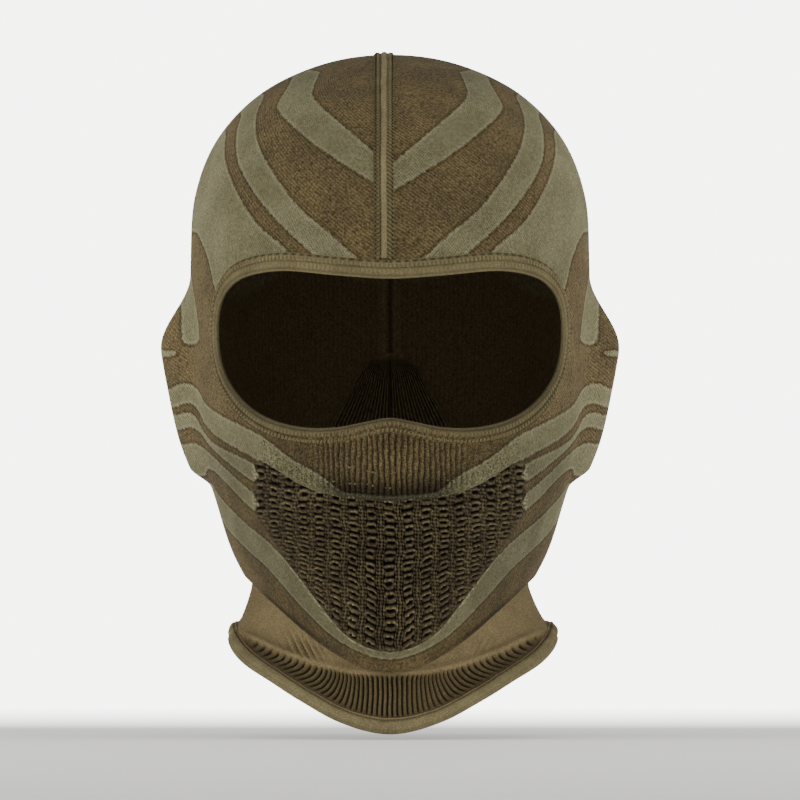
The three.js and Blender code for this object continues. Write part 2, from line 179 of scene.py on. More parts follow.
def face_spot(x, z):
    """Azimuth and level of the point of the front half that stands at x, z."""
    x, z = np.asarray(x, float), np.asarray(z, float)
    level = level_at(z)
    low, high = np.zeros_like(x * z), np.full_like(x * z, math.pi / 2)
    for _ in range(26):
        middle = (low + high) / 2
        beyond = form_point(middle, level)[..., 0] > np.abs(x)
        low, high = np.where(beyond, low, middle), np.where(beyond, middle, high)
    return low * np.sign(x), level + 0 * low


def on_form(azimuth, level, lift=0.0):
    """Points at a lift off the head form."""
    return form_point(azimuth, level) + form_normal(azimuth, level) * np.asarray(lift)[..., None]


def smooth_closed(half, count):
    """Closed smooth loop through a half outline and its mirror image, from the top middle over +x."""
    loop = np.array(list(half) + [(-x, z) for x, z in reversed(half) if x > 0], float)
    rows = np.concatenate([loop, loop[:1]])
    fine = through(rows, np.linspace(0, len(loop), count * 8, endpoint=False), (loop[-1], loop[1]))
    steps = np.linalg.norm(np.diff(np.vstack([fine, fine[:1]]), axis=0), axis=1)
    length = np.concatenate([[0], np.cumsum(steps)])
    at = np.linspace(0, length[-1], count, endpoint=False)
    return np.stack([np.interp(at, length, np.append(fine[:, i], fine[0, i])) for i in (0, 1)], -1)


def signed_distance(points, loop):
    """Distance to a closed outline, positive inside."""
    points = np.asarray(points, np.float32)
    flat = points.reshape(-1, 2)
    a, b = np.asarray(loop, np.float32), np.roll(np.asarray(loop, np.float32), -1, axis=0)
    edge = b - a
    out = np.empty(len(flat), np.float32)
    for start in range(0, len(flat), 4000):
        p = flat[start:start + 4000, None]
        t = np.clip(((p - a) * edge).sum(-1) / np.maximum((edge ** 2).sum(-1), 1e-9), 0, 1)
        gap = np.sqrt(((p - a - edge * t[..., None]) ** 2).sum(-1)).min(1)
        crosses = (a[:, 1] > p[..., 1]) != (b[:, 1] > p[..., 1])
        slope = edge[:, 0] / np.where(edge[:, 1] == 0, 1e-9, edge[:, 1])
        inside = (crosses & (p[..., 0] < a[:, 0] + (p[..., 1] - a[:, 1]) * slope)).sum(1) % 2 == 1
        out[start:start + 4000] = np.where(inside, gap, -gap)
    return out.reshape(points.shape[:-1])


# ---------------------------------------------------------------- camouflage bands, right half, x and z
# a point at x = 140 lies round the side of the head, so a band with such points runs on to the back
GREEN_BANDS = [
    [(-6, 81.8), (4, 90.4), (18, 102.5), (31.2, 114), (30.8, 118.8), (26, 129), (140, 130), (140, 125.6),
     (38, 125.6), (40.4, 119.6), (43.6, 114.4), (46, 109.6), (30.8, 96), (18, 87.2), (4, 78.8),
     (-6, 72.2)],
    [(54, 118.4), (49.6, 116.4), (52.8, 110.4), (54, 103.6), (52.4, 94.8), (47.2, 85.2), (39.6, 74.4),
     (33.2, 67.2), (24.4, 60.8), (14, 50.8), (2, 42), (20, 42), (30.8, 52.4), (41.6, 61.6), (49.6, 70.4),
     (56, 79.2), (60, 86.8), (61.6, 93.2), (61.2, 102.4), (58.8, 108.8), (62, 112)],
    [(140, 104), (70, 104), (65.2, 102.4), (66.4, 94.8), (65.2, 86.8), (61.2, 76.8), (54.8, 66),
     (48.4, 59.6), (40.8, 54), (40, 50), (50, 42), (60, 36), (68, 34), (70, 38.4), (72, 48.8),
     (75.2, 57.6), (78.8, 63.2), (140, 63)],
    [(80.5, 51), (79.2, 41), (77.4, 31), (76.2, 21), (76, 16.8), (83.2, 15.6), (83.4, 25), (83.6, 35),
     (83.2, 45), (82.2, 51)],
    [(84.8, 14.5), (140, 13.5), (140, 10), (85.5, 10.8)],
    [(140, -2.4), (88.8, -2.4), (84.8, .4), (80.4, .8), (76.4, -2), (74.4, -7.2), (68.8, -11.6),
     (57.2, -17.2), (47.2, -22.4), (38.4, -30), (25.6, -36.4), (19.2, -42), (13, -43.6), (13, -45.4),
     (19.2, -45.2), (32, -41.6), (38.4, -38.4), (46.8, -33.6), (57.2, -27.2), (68.8, -21.2),
     (74.4, -15.2), (76, -10.8), (79.2, -7.2), (82.8, -7.2), (86.8, -9.6), (140, -9.6)],
    [(140, -12.4), (86, -12.4), (82.8, -11.2), (80, -11), (77, -13.4), (74.8, -18.6), (70.4, -23.8),
     (57.2, -29.8), (50.8, -33.5), (44, -38), (45, -43), (51.6, -39.6), (57.2, -36.8), (66.8, -29.2),
     (72.8, -23.6), (76.4, -18), (80.8, -16.4), (84, -18.4), (140, -18.4)],
    [(140, -24), (82, -24), (78.4, -22.8), (74, -25.6), (70, -29.2), (62.4, -36.4), (56, -42),
     (48, -47.5), (46, -53.5), (51.6, -51.2), (54.8, -49.6), (60, -44.8), (64.8, -39.6), (70, -34.4),
     (73.6, -32.8), (73.2, -38), (140, -38)],
    [(140, -36.5), (72, -37.6), (69.6, -42.8), (64.8, -48.4), (57.2, -55.6), (50.8, -60.4), (45.2, -65.6),
     (38.4, -73.2), (34.4, -77.6), (25.6, -89.2), (19.2, -97.6), (10.8, -103.2), (0, -106.4),
     (-6, -106.4), (-6, -109.2), (0, -109.2), (6.4, -108.4), (16, -104.4), (23.6, -99.6), (31.2, -92.4),
     (38.4, -84.8), (43.2, -79.2), (49.6, -72), (57.2, -65.6), (64.8, -58), (68, -52.4), (75, -52),
     (140, -54)],
]
ROUND_MM, LEVEL_MM = 80.0, 24.0      # size of a radian and of a level on the flattened knit


def rounded(loop, times=2):
    """Closed outline with its corners cut, so that it reads as a curve."""
    loop = np.asarray(loop, float)
    for _ in range(times):
        after = np.roll(loop, -1, axis=0)
        loop = np.stack([loop * 0.75 + after * 0.25, loop * 0.25 + after * 0.75], 1).reshape(-1, 2)
    return loop


def flattened(loop):
    """Band outline carried from x, z to azimuth and level, both in millimetres of flattened knit."""
    loop = rounded(loop)
    pieces = []
    for a, b in zip(loop, np.roll(loop, -1, axis=0)):
        count = max(1, int(np.linalg.norm(b - a) / 5))
        pieces.append(a + (b - a) * np.linspace(0, 1, count, endpoint=False)[:, None])
    x, z = np.concatenate(pieces).T
    turns = np.radians(np.linspace(0, 96, 97))
    widths = form_point(turns[None], level_at(z)[:, None])[..., 0]
    azimuth = []
    for across, row in zip(x, widths):
        most = int(np.argmax(row))
        azimuth.append(math.radians(90 + (across - row[most]) * 0.8) if across >= row[most] - 0.3
                       else np.interp(abs(across), row[:most + 1], turns[:most + 1]) * np.sign(across))
    return np.stack([np.array(azimuth) * ROUND_MM, level_at(z) * LEVEL_MM], -1)


class Camouflage:
    """Signed distance to the nearest band edge over the whole knit, positive on the green."""
    step = 1.1
    margin = 4

    def __init__(self):
        across = np.arange(-self.margin, math.pi / 2 * ROUND_MM + self.margin, self.step)
        down = np.arange(0, (LAST + 0.2) * LEVEL_MM, self.step)
        grid = np.stack(np.meshgrid(across, down, indexing="ij"), -1)
        self.field = np.max([signed_distance(grid, flattened(band)) for band in GREEN_BANDS], axis=0)

    def at(self, azimuth, level):
        turn = turn_from_front(azimuth)
        mirrored = np.where(turn > math.pi / 2, np.maximum(math.pi - turn, 0), turn)
        u = (mirrored * ROUND_MM + self.margin) / self.step
        v = np.asarray(level) * LEVEL_MM / self.step
        f = self.field
        i = np.clip(u.astype(int), 0, f.shape[0] - 2)
        j = np.clip(v.astype(int), 0, f.shape[1] - 2)
        s, t = np.clip(u - i, 0, 1), np.clip(v - j, 0, 1)
        return (f[i, j] * (1 - s) * (1 - t) + f[i + 1, j] * s * (1 - t) + f[i, j + 1] * (1 - s) * t
                + f[i + 1, j + 1] * s * t)


CAMO = Camouflage()


# ---------------------------------------------------------------- meshes
def grid_faces(rows, columns, closed_columns=False, closed_rows=False):
    """Four-sided faces of a grid of points."""
    r = np.arange(rows if closed_rows else rows - 1)
    c = np.arange(columns if closed_columns else columns - 1)
    r, c = (a.ravel() for a in np.meshgrid(r, c, indexing="ij"))
    r2, c2 = (r + 1) % rows, (c + 1) % columns
    return np.stack([r * columns + c, r2 * columns + c, r2 * columns + c2, r * columns + c2], -1)


def make_mesh(name, points_mm, faces, values=None, slots=(), face_slots=None, sharp_edges=None):
    """Mesh object in metres from millimetre points, with per-point values kept as attributes."""
    points, faces = np.asarray(points_mm, float).reshape(-1, 3), np.asarray(faces)
    used = np.unique(faces)
    place = np.full(len(points), -1)
    place[used] = np.arange(len(used))
    faces = place[faces]
    a, b, c, d = (points[used][faces[:, i]] for i in range(4))
    if (np.cross(b, c) * a).sum() + (np.cross(c, d) * a).sum() < 0:
        faces = faces[:, ::-1]
    mesh = bpy.data.meshes.new(name)
    mesh.from_pydata((points[used] * MM).tolist(), [], [list(dict.fromkeys(f)) for f in faces.tolist()])
    for key, value in (values or {}).items():
        value = np.asarray(value, np.float32)
        if value.shape[-1:] == (3,) and value.size == len(points) * 3:
            layer = mesh.attributes.new(key, "FLOAT_VECTOR", "POINT")
            layer.data.foreach_set("vector", value.reshape(-1, 3)[used].ravel())
        else:
            layer = mesh.attributes.new(key, "FLOAT", "POINT")
            layer.data.foreach_set("value", value.ravel()[used])
    for material in slots:
        mesh.materials.append(material)
    if face_slots is not None:
        mesh.polygons.foreach_set("material_index", np.asarray(face_slots, np.int32))
    mesh.validate()
    mesh.shade_smooth()
    if sharp_edges is not None and len(sharp_edges):
        wanted = {tuple(sorted(e)) for e in place[np.asarray(sharp_edges)].tolist()}
        sharp = mesh.attributes.new("sharp_edge", "BOOLEAN", "EDGE")
        sharp.data.foreach_set("value", [tuple(sorted(e.vertices)) in wanted for e in mesh.edges])
    piece = bpy.data.objects.new(name, mesh)
    bpy.context.collection.objects.link(piece)
    return piece


def two_faced(name, outer, inner, faces, values, slots):
    """Cloth with an outer and an inner face, closed along every open edge."""
    outer, inner = outer.reshape(-1, 3), inner.reshape(-1, 3)
    count = len(outer)
    edges = np.concatenate([faces[:, [i, (i + 1) % 4]] for i in range(4)])
    keys, back = edges[:, 0] * count + edges[:, 1], edges[:, 1] * count + edges[:, 0]
    rim = edges[~np.isin(keys, back) & (edges[:, 0] != edges[:, 1])]
    walls = np.stack([rim[:, 1], rim[:, 0], rim[:, 0] + count, rim[:, 1] + count], -1)
    both = np.concatenate([faces, faces[:, ::-1] + count, walls])
    slot = np.concatenate([np.zeros(len(faces)), np.ones(len(faces)), np.zeros(len(walls))])
    doubled = {}
    for key, value in values.items():
        value = np.asarray(value, float)
        value = value.reshape(count, 3) if value.size == count * 3 else value.ravel()
        doubled[key] = np.concatenate([value, value])
    sharp_edges = np.concatenate([rim, rim + count])
    return make_mesh(name, np.concatenate([outer, inner]), both, doubled, slots, slot, sharp_edges)


def knit_values(azimuth, level, **more):
    """What every knit face carries: the band distance and the place along the knit, in millimetres."""
    place = np.stack([azimuth * ROUND_MM, level * LEVEL_MM, 0 * azimuth], -1)
    return {"camo": CAMO.at(azimuth, level), "knit": place, **more}


def lower_shade(points_mm):
    """Painted shade low on the front of the face, and painted light along the bottom of the chin."""
    x, y, z = np.moveaxis(points_mm, -1, 0)
    low = (0.46 - 0.12 * blend_in(y, -60, -90)) * blend_in(z, 4, -34) * blend_in(y, 0, -52)
    return low - 0.14 * blend_in(z, -102, -114)


def follow_face(piece):
    """Bake the placement of a piece into its mesh."""
    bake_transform(piece)


def follow_collar(piece):
    """Bake the placement of a piece into its mesh."""
    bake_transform(piece)


def edge_round(distance, reach, half):
    """Half thickness of cloth that is turned over within reach of its edge."""
    share = np.clip(distance / reach, 0, 1)
    return half * np.sqrt(np.maximum(1 - (1 - share) ** 2, 0.0))


# ---------------------------------------------------------------- knit materials
def linear(hex_colour):
    """Scene colour of an sRGB hex string."""
    parts = [int(hex_colour[i:i + 2], 16) / 255 for i in (1, 3, 5)]
    return tuple(p / 12.92 if p <= 0.04045 else ((p + 0.055) / 1.055) ** 2.4 for p in parts) + (1.0,)


class Finish:
    """A material and its node tree, with one short way to add a node."""

    def __init__(self, name, roughness=0.9, sheen=0.02):
        self.material = bpy.data.materials.new(name + "_finish")
        self.material.use_nodes = True
        self.tree = self.material.node_tree
        self.tree.nodes.clear()
        look = {"Roughness": roughness, "Sheen Weight": sheen, "Sheen Roughness": 0.5, "Specular IOR Level": 0.08}
        self.shader = self.node("ShaderNodeBsdfPrincipled", look)
        self.node("ShaderNodeOutputMaterial", {"Surface": self.shader.outputs[0]})
        self.place = self.node("ShaderNodeTexCoord").outputs["Object"]

    def node(self, kind, sockets=None, **settings):
        added = self.tree.nodes.new(kind)
        for key, value in settings.items():
            setattr(added, key, value)
        for key, value in (sockets or {}).items():
            if isinstance(value, bpy.types.NodeSocket):
                self.tree.links.new(value, added.inputs[key])
            else:
                added.inputs[key].default_value = value
        return added

    def math(self, operation, a, b=0.0, c=0.0):
        return self.node("ShaderNodeMath", {0: a, 1: b, 2: c}, operation=operation).outputs[0]

    def times(self, a, b):
        return self.math("MULTIPLY", a, b)

    def plus(self, a, b):
        return self.math("ADD", a, b)

    def minus(self, a, b):
        return self.math("SUBTRACT", a, b)

    def sine(self, a):
        return self.math("SINE", a)

    def ramp(self, value, low, high, to_low=0.0, to_high=1.0):
        return self.node("ShaderNodeMapRange", {"Value": value, "From Min": low, "From Max": high,
                                                "To Min": to_low, "To Max": to_high}).outputs[0]

    def read(self, name):
        return self.node("ShaderNodeAttribute", attribute_name=name)

    def value(self, name):
        return self.read(name).outputs["Fac"]

    def noise(self, size, detail):
        """Soft random value with grains of a size in metres."""
        grain = {"Vector": self.place, "Scale": 1 / size, "Detail": detail, "Roughness": 0.55}
        return self.node("ShaderNodeTexNoise", grain).outputs["Fac"]

    def blend(self, share, a, b, how="MIX"):
        return self.node("ShaderNodeMix", {0: share, 6: a, 7: b}, data_type="RGBA", blend_type=how,
                         clamp_factor=True).outputs[2]

    def patches(self, soft, a, b):
        """Colour that wanders between two tones in soft patches."""
        return self.blend(self.ramp(soft, 0.35, 0.65), a, b)

    def shaded(self, tone):
        """Tone darkened or lightened by the painted shade and light that the mesh carries."""
        return self.times(tone, self.ramp(self.value("shade"), -0.5, 1, 1.5, 0.25))

    def scaled(self, colour, value):
        grey = self.node("ShaderNodeCombineColor", {0: value, 1: value, 2: value}).outputs[0]
        return self.blend(1.0, colour, grey, "MULTIPLY")

    def finish(self, colour, height, distance=0.0004, strength=1.0):
        self.tree.links.new(colour, self.shader.inputs["Base Color"])
        bump = self.node("ShaderNodeBump", {"Height": height, "Strength": strength, "Distance": distance})
        self.tree.links.new(bump.outputs[0], self.shader.inputs["Normal"])
        return self.material


def camo_colour(f, colours, fine, soft):
    """Brown and green of the jacquard: a stepped edge, a light rim on the green, a dark line on the brown."""
    edge = f.plus(f.value("camo"), f.ramp(fine, 0.3, 0.7, -0.25, 0.25))
    green = f.ramp(edge, -0.25, 0.25)
    brown_side = f.patches(soft, linear(colours["brown"]), linear(colours["brown_light"]))
    green_side = f.patches(soft, linear(colours["green"]), linear(colours["green_light"]))
    base = f.blend(green, brown_side, green_side)
    rim = f.times(f.ramp(edge, 0.1, 0.5), f.ramp(edge, 1.5, 0.7))
    line = f.times(f.ramp(edge, -0.1, -0.4), f.ramp(edge, -1.5, -0.7))
    base = f.blend(f.times(rim, 0.35), base, linear(colours["rim"]))
    return f.blend(f.times(line, 0.4), base, linear(colours["line"])), green


def jacquard_knit(colours):
    # fine polyester jacquard knit: speckled brown ground, diagonal stipple on the green bands
    f = Finish("jacquard_knit", 0.92, 0.02)
    fine, grain, soft = f.noise(0.0013, 2.0), f.noise(0.00075, 2.0), f.noise(0.016, 2.0)
    base, green = camo_colour(f, colours, fine, soft)
    place = f.node("ShaderNodeSeparateXYZ", {0: f.read("knit").outputs["Vector"]})
    across, down = place.outputs[0], place.outputs[1]
    twill = f.sine(f.times(f.plus(across, down), 5.2))
    cross = f.sine(f.times(f.minus(across, f.times(down, 0.6)), 5.9))
    dots = f.times(f.ramp(f.plus(twill, cross), 0.2, 1.5), f.times(green, 0.85))
    streak = f.minus(f.times(across, 0.75), f.times(down, 1.0))
    streak = f.sine(f.plus(f.times(streak, 4.3), f.times(fine, 5.0)))
    height = f.plus(f.plus(f.times(grain, 0.7), f.times(fine, 0.6)),
                    f.times(dots, -0.35))
    speckle = f.ramp(f.plus(grain, f.times(fine, 0.7)), 0.6, 1.1, 0.42, 1.55)
    speckle = f.plus(f.times(speckle, f.ramp(green, 0, 1, 1.0, 0.6)), f.ramp(green, 0, 1, 0.0, 0.4))
    streaked = f.times(streak, f.ramp(green, 0, 1, 0.22, 0.06))
    speckle = f.times(speckle, f.plus(1.0, streaked))
    tone = f.times(speckle, f.ramp(dots, 0, 1, 1.08, 0.55))
    tone = f.shaded(tone)
    return f.finish(f.scaled(base, tone), height, 0.0007, 0.9)


def mesh_knit(colours):
    # openwork knit over the mouth: painted shade in its slits and painted highlight on its loops
    f = Finish("mesh_knit", 0.85, 0.02)
    fine, grain, soft = f.noise(0.0011, 3.0), f.noise(0.0005, 2.0), f.noise(0.01, 2.0)
    yarns = {**colours, "brown": colours["mesh"], "brown_light": colours["mesh_light"]}
    base, _ = camo_colour(f, yarns, fine, soft)
    relief = f.value("relief")
    loops = f.math("POWER", f.ramp(relief, -0.9, 1.3, 0.06, 3.0), 1.4)
    tone = f.times(loops, f.ramp(grain, 0.3, 0.7, 0.6, 1.4))
    tone = f.shaded(tone)
    return f.finish(f.scaled(base, tone), grain, 0.0004, 0.8)


def knit_reverse(colours):
    # floating yarns on the inside of the knit, in the dark; painted shade where the relief of a ribbed or
    # openwork piece is low, and a dark seam line inside the hood
    f = Finish("knit_reverse", 0.95, 0.02)
    place = f.node("ShaderNodeSeparateXYZ", {0: f.read("knit").outputs["Vector"]})
    rows = f.sine(f.times(place.outputs[0], 3.3))
    grain = f.noise(0.0008, 2.0)
    base = f.blend(f.ramp(f.value("camo"), -1, 1), linear(colours["inside"]),
                   linear(colours["inside_light"]))
    tone = f.times(f.ramp(rows, -1, 1, 0.95, 1.05), f.ramp(grain, 0.3, 0.7, 0.7, 1.3))
    tone = f.times(tone, f.ramp(f.value("relief"), -1, 1, 0.35, 1.75))
    tone = f.shaded(tone)
    return f.finish(f.scaled(base, tone), f.plus(f.times(rows, 0.25), grain), 0.0004, 0.6)


def rib_knit(colours):
    # ribbed knit: raised ribs, with painted shade in the channels between them
    f = Finish("rib_knit", 0.9, 0.02)
    grain, soft = f.noise(0.00055, 2.0), f.noise(0.012, 2.0)
    relief = f.value("relief")
    base = f.blend(f.ramp(relief, -0.95, 0.2), linear(colours["rib_dark"]), linear(colours["rib"]))
    tone = f.times(f.ramp(grain, 0.3, 0.7, 0.62, 1.34), f.ramp(soft, 0.3, 0.7, 0.9, 1.1))
    tone = f.shaded(tone)
    return f.finish(f.scaled(base, tone), grain, 0.0004, 0.7)


def nose_knit(colours):
    # ribs over the nose, fading into the jacquard of the cheeks, with painted shade between the ribs
    f = Finish("nose_knit", 0.9, 0.02)
    fine, grain, soft = f.noise(0.0011, 3.0), f.noise(0.00055, 2.0), f.noise(0.016, 2.0)
    base, _ = camo_colour(f, colours, fine, soft)
    relief = f.value("relief")
    speckle = f.ramp(f.plus(grain, f.times(fine, 0.7)), 0.6, 1.1, 0.3, 1.7)
    tone = f.times(f.ramp(relief, -0.9, 0.9, 0.2, 1.2), speckle)
    tone = f.shaded(tone)
    return f.finish(f.scaled(base, tone), grain, 0.0004, 0.7)


def binding_tape(colours):
    # folded elastic binding: short crosswise yarns, a painted highlight where it turns over at the lip and
    # painted shade where its relief is low
    f = Finish("binding_tape", 0.8, 0.02)
    grain, soft = f.noise(0.0006, 2.0), f.noise(0.01, 2.0)
    relief, lip = f.value("relief"), f.value("lip")
    base = f.patches(soft, linear(colours["binding"]), linear(colours["binding_light"]))
    base = f.blend(lip, base, linear(colours["lip"]))
    tone = f.times(f.ramp(relief, -1, 0.8, 0.3, 1.12), f.ramp(grain, 0.3, 0.7, 0.7, 1.28))
    return f.finish(f.scaled(base, tone), grain, 0.0003, 0.7)


def sewing_thread(name, colour):
    # twisted polyester thread
    f = Finish(name, 0.7, 0.03)
    twist = f.noise(0.0005, 1.0)
    return f.finish(f.scaled(linear(colour), f.ramp(twist, 0.3, 0.7, 0.75, 1.2)), twist, 0.0002, 0.5)


# the paper glows with painted light, more the further it lies behind the mask, from one y to the other
GLOW_FROM_Y, GLOW_TO_Y = 0.22, 0.9
GLOW_NEAR, GLOW_FAR = 0.3, 6.0


def plain_paper():
    # pale matte studio paper that glows with painted light
    f = Finish("studio_paper", 0.9, 0.0)
    grain = f.noise(0.08, 2.0)
    f.shader.inputs["Emission Color"].default_value = linear("#FFFFFC")
    depth = f.node("ShaderNodeSeparateXYZ", {0: f.place}).outputs[1]
    glow = f.ramp(depth, GLOW_FROM_Y, GLOW_TO_Y, GLOW_NEAR, GLOW_FAR)
    f.tree.links.new(glow, f.shader.inputs["Emission Strength"])
    return f.finish(f.blend(f.ramp(grain, 0.3, 0.7), linear("#E9E8E4"), linear("#EDECE9")), grain, 0.0001, 0.1)


# ---------------------------------------------------------------- repeated stitches, by Geometry Nodes
def stitch_tree():
    """Node group that lays one small thread loop at each step along a path."""
    tree = bpy.data.node_groups.new("stitch_row", "GeometryNodeTree")
    face = tree.interface
    face.new_socket(name="Path", in_out="INPUT", socket_type="NodeSocketGeometry")
    sizes = [("Pitch", 0.0024), ("Stitch length", 0.002), ("Thread", 0.0007), ("Slant", 0.0), ("Wander", 0.08),
             ("Lift", 0.0)]
    for name, value in sizes:
        socket = face.new_socket(name=name, in_out="INPUT", socket_type="NodeSocketFloat")
        socket.default_value = value
    face.new_socket(name="Seed", in_out="INPUT", socket_type="NodeSocketInt").default_value = 3
    face.new_socket(name="Material", in_out="INPUT", socket_type="NodeSocketMaterial")
    face.new_socket(name="Stitches", in_out="OUTPUT", socket_type="NodeSocketGeometry")

    def add(kind, sockets=None, **settings):
        node = tree.nodes.new(kind)
        for key, value in settings.items():
            setattr(node, key, value)
        for key, value in (sockets or {}).items():
            if isinstance(value, bpy.types.NodeSocket):
                tree.links.new(value, node.inputs[key])
            else:
                node.inputs[key].default_value = value
        return node

    given = add("NodeGroupInput").outputs
    curve = add("GeometryNodeMeshToCurve", {"Mesh": given["Path"]}).outputs[0]
    even = add("GeometryNodeResampleCurve", {"Curve": curve, "Length": given["Pitch"]},
               mode="LENGTH").outputs[0]
    ball = add("GeometryNodeMeshUVSphere", {"Segments": 8, "Rings": 6, "Radius": 0.5}).outputs[0]
    size = add("ShaderNodeCombineXYZ",
               {0: given["Stitch length"], 1: given["Thread"], 2: given["Thread"]}).outputs[0]
    stitch = add("GeometryNodeTransform", {"Geometry": ball, "Scale": size}).outputs[0]
    outward = add("GeometryNodeInputNamedAttribute", {"Name": "outward"}, data_type="FLOAT_VECTOR").outputs[0]
    stand = add("FunctionNodeAlignRotationToVector", {"Vector": outward}, axis="Z").outputs[0]
    along = add("GeometryNodeInputTangent").outputs[0]
    lie = add("FunctionNodeAlignRotationToVector", {"Rotation": stand, "Vector": along}, axis="X",
              pivot_axis="Z").outputs[0]
    stray = add("FunctionNodeRandomValue", {"Min": -1.0, "Max": 1.0, "Seed": given["Seed"]}, data_type="FLOAT")
    number = [s for s in stray.inputs if s.type == "VALUE"]
    number[0].default_value, number[1].default_value = -1.0, 1.0
    stray_out = [s for s in stray.outputs if s.type == "VALUE"][0]
    turn = add("ShaderNodeMath", {0: stray_out, 1: given["Wander"], 2: given["Slant"]},
               operation="MULTIPLY_ADD")
    spin = add("FunctionNodeEulerToRotation", {0: add("ShaderNodeCombineXYZ", {2: turn.outputs[0]}).outputs[0]})
    pose = add("FunctionNodeRotateRotation", {0: lie, 1: spin.outputs[0]}, rotation_space="LOCAL").outputs[0]
    rows = add("GeometryNodeInstanceOnPoints",
               {"Points": even, "Instance": stitch, "Rotation": pose}).outputs[0]
    up = add("ShaderNodeVectorMath", {0: outward, "Scale": given["Lift"]}, operation="SCALE").outputs[0]
    raised = add("GeometryNodeSetPosition", {"Geometry": rows, "Offset": up}).outputs[0]
    solid = add("GeometryNodeRealizeInstances", {"Geometry": raised}).outputs[0]
    smooth = add("GeometryNodeSetShadeSmooth", {"Geometry": solid}).outputs[0]
    painted = add("GeometryNodeSetMaterial", {"Geometry": smooth, "Material": given["Material"]}).outputs[0]
    add("NodeGroupOutput", {0: painted})
    return tree


def stitch_row(name, points_mm, outward, material, closed=False, **sizes):
    """Plain mesh of the stitches that the node group lays along a path."""
    count = len(points_mm)
    edges = [(i, (i + 1) % count) for i in range(count if closed else count - 1)]
    mesh = bpy.data.meshes.new(name + "_path")
    mesh.from_pydata((np.asarray(points_mm) * MM).tolist(), edges, [])
    layer = mesh.attributes.new("outward", "FLOAT_VECTOR", "POINT")
    layer.data.foreach_set("vector", np.asarray(outward, np.float32).ravel())
    path = bpy.data.objects.new(name + "_path", mesh)
    bpy.context.collection.objects.link(path)
    tree = bpy.data.node_groups.get("stitch_row") or stitch_tree()
    modifier = path.modifiers.new("stitches", "NODES")
    modifier.node_group = tree
    sockets = {item.name: item.identifier for item in tree.interface.items_tree if item.in_out == "INPUT"}
    for key, value in {**sizes, "Material": material}.items():
        modifier[sockets[key]] = value
    bpy.context.view_layer.update()
    done = bpy.data.meshes.new_from_object(path.evaluated_get(bpy.context.evaluated_depsgraph_get()))
    bpy.data.objects.remove(path)
    done.name = name
    spent = done.attributes.get("outward")
    if spent:
        done.attributes.remove(spent)
    piece = bpy.data.objects.new(name, done)
    bpy.context.collection.objects.link(piece)
    return piece


def joined(name, pieces):
    """One object from several, in one mesh."""
    bpy.ops.object.select_all(action="DESELECT")
    for piece in pieces:
        piece.select_set(True)
    bpy.context.view_layer.objects.active = pieces[0]
    bpy.ops.object.join()
    pieces[0].name = name
    pieces[0].data.name = name
    return pieces[0]


# ---------------------------------------------------------------- what a user can change
def colour_setting(name, description, value):
    return bpy.props.StringProperty(name=name, description=description, default=value)


def length_setting(name, description, value, **limits):
    return bpy.props.FloatProperty(name=name, description=description, default=value, unit="LENGTH", **limits)


class BalaclavaSettings(bpy.types.PropertyGroup):
    """Sizes and colours of the balaclava."""
    wall: length_setting("Knit thickness", "Thickness of the knit", 0.0014, min=0.0005, max=0.003)
    grid: length_setting("Knit grid", "Spacing of the points of the hood", 0.00165, min=0.001, max=0.006)
    mesh_column: length_setting("Mesh column", "Distance between columns of the mouth mesh", 0.0076)
    mesh_row: length_setting("Mesh row", "Distance between rows of the mouth mesh", 0.0056)
    nose_rib: length_setting("Nose rib", "Distance between the ribs over the nose", 0.00215)
    collar_rib: length_setting("Collar rib", "Distance between the ribs of the collar", 0.0021)
    stitch_pitch: length_setting("Stitch pitch", "Distance between sewn stitches", 0.0018)
    brown: colour_setting("Brown", "Ground colour of the jacquard, in sRGB hex", "#564B35")
    brown_light: colour_setting("Light brown", "Lighter patches of the ground, in sRGB hex", "#63563A")
    green: colour_setting("Green", "Colour of the bands, in sRGB hex", "#726E52")
    green_light: colour_setting("Light green", "Lighter patches of the bands, in sRGB hex", "#7F7B5E")
    rim: colour_setting("Band rim", "Light line inside a band, in sRGB hex", "#9C967A")
    line: colour_setting("Band line", "Dark line outside a band, in sRGB hex", "#221B10")
    mesh: colour_setting("Mesh", "Dark yarn of the mouth mesh, in sRGB hex", "#42392A")
    mesh_light: colour_setting("Light mesh", "Lighter yarn of the mouth mesh, in sRGB hex", "#514833")
    inside: colour_setting("Inside", "Reverse of the knit, in sRGB hex", "#5C5039")
    inside_light: colour_setting("Light inside", "Reverse of the bands, in sRGB hex", "#635A42")
    rib: colour_setting("Rib", "Face of the collar ribs, in sRGB hex", "#6E6145")
    # the rib channel colour is painted shade in the channels between the ribs
    rib_dark: colour_setting("Rib channel", "Channels between the ribs, in sRGB hex", "#1D160B")
    binding: colour_setting("Binding", "Eye and hem binding, in sRGB hex", "#70674A")
    binding_light: colour_setting("Light binding", "Lighter stretches of the binding, in sRGB hex", "#7D7454")
    # the lip colour is a painted highlight on turned edges and on the crests of seams and hems
    lip: colour_setting("Lip", "Turned edge of the eye binding, in sRGB hex", "#94825F")
    thread: colour_setting("Thread", "Sewing thread, in sRGB hex", "#7A6C49")
    # the dark thread is painted shade in the needle holes
    thread_dark: colour_setting("Dark thread", "Thread in the needle holes, in sRGB hex", "#2B2415")

    def colours(self):
        kept = self.__annotations__
        names = [name for name in kept if kept[name].function is bpy.props.StringProperty]
        return {name: getattr(self, name) for name in names}


def settings():
    return bpy.context.scene.balaclava


FINISHES = {}


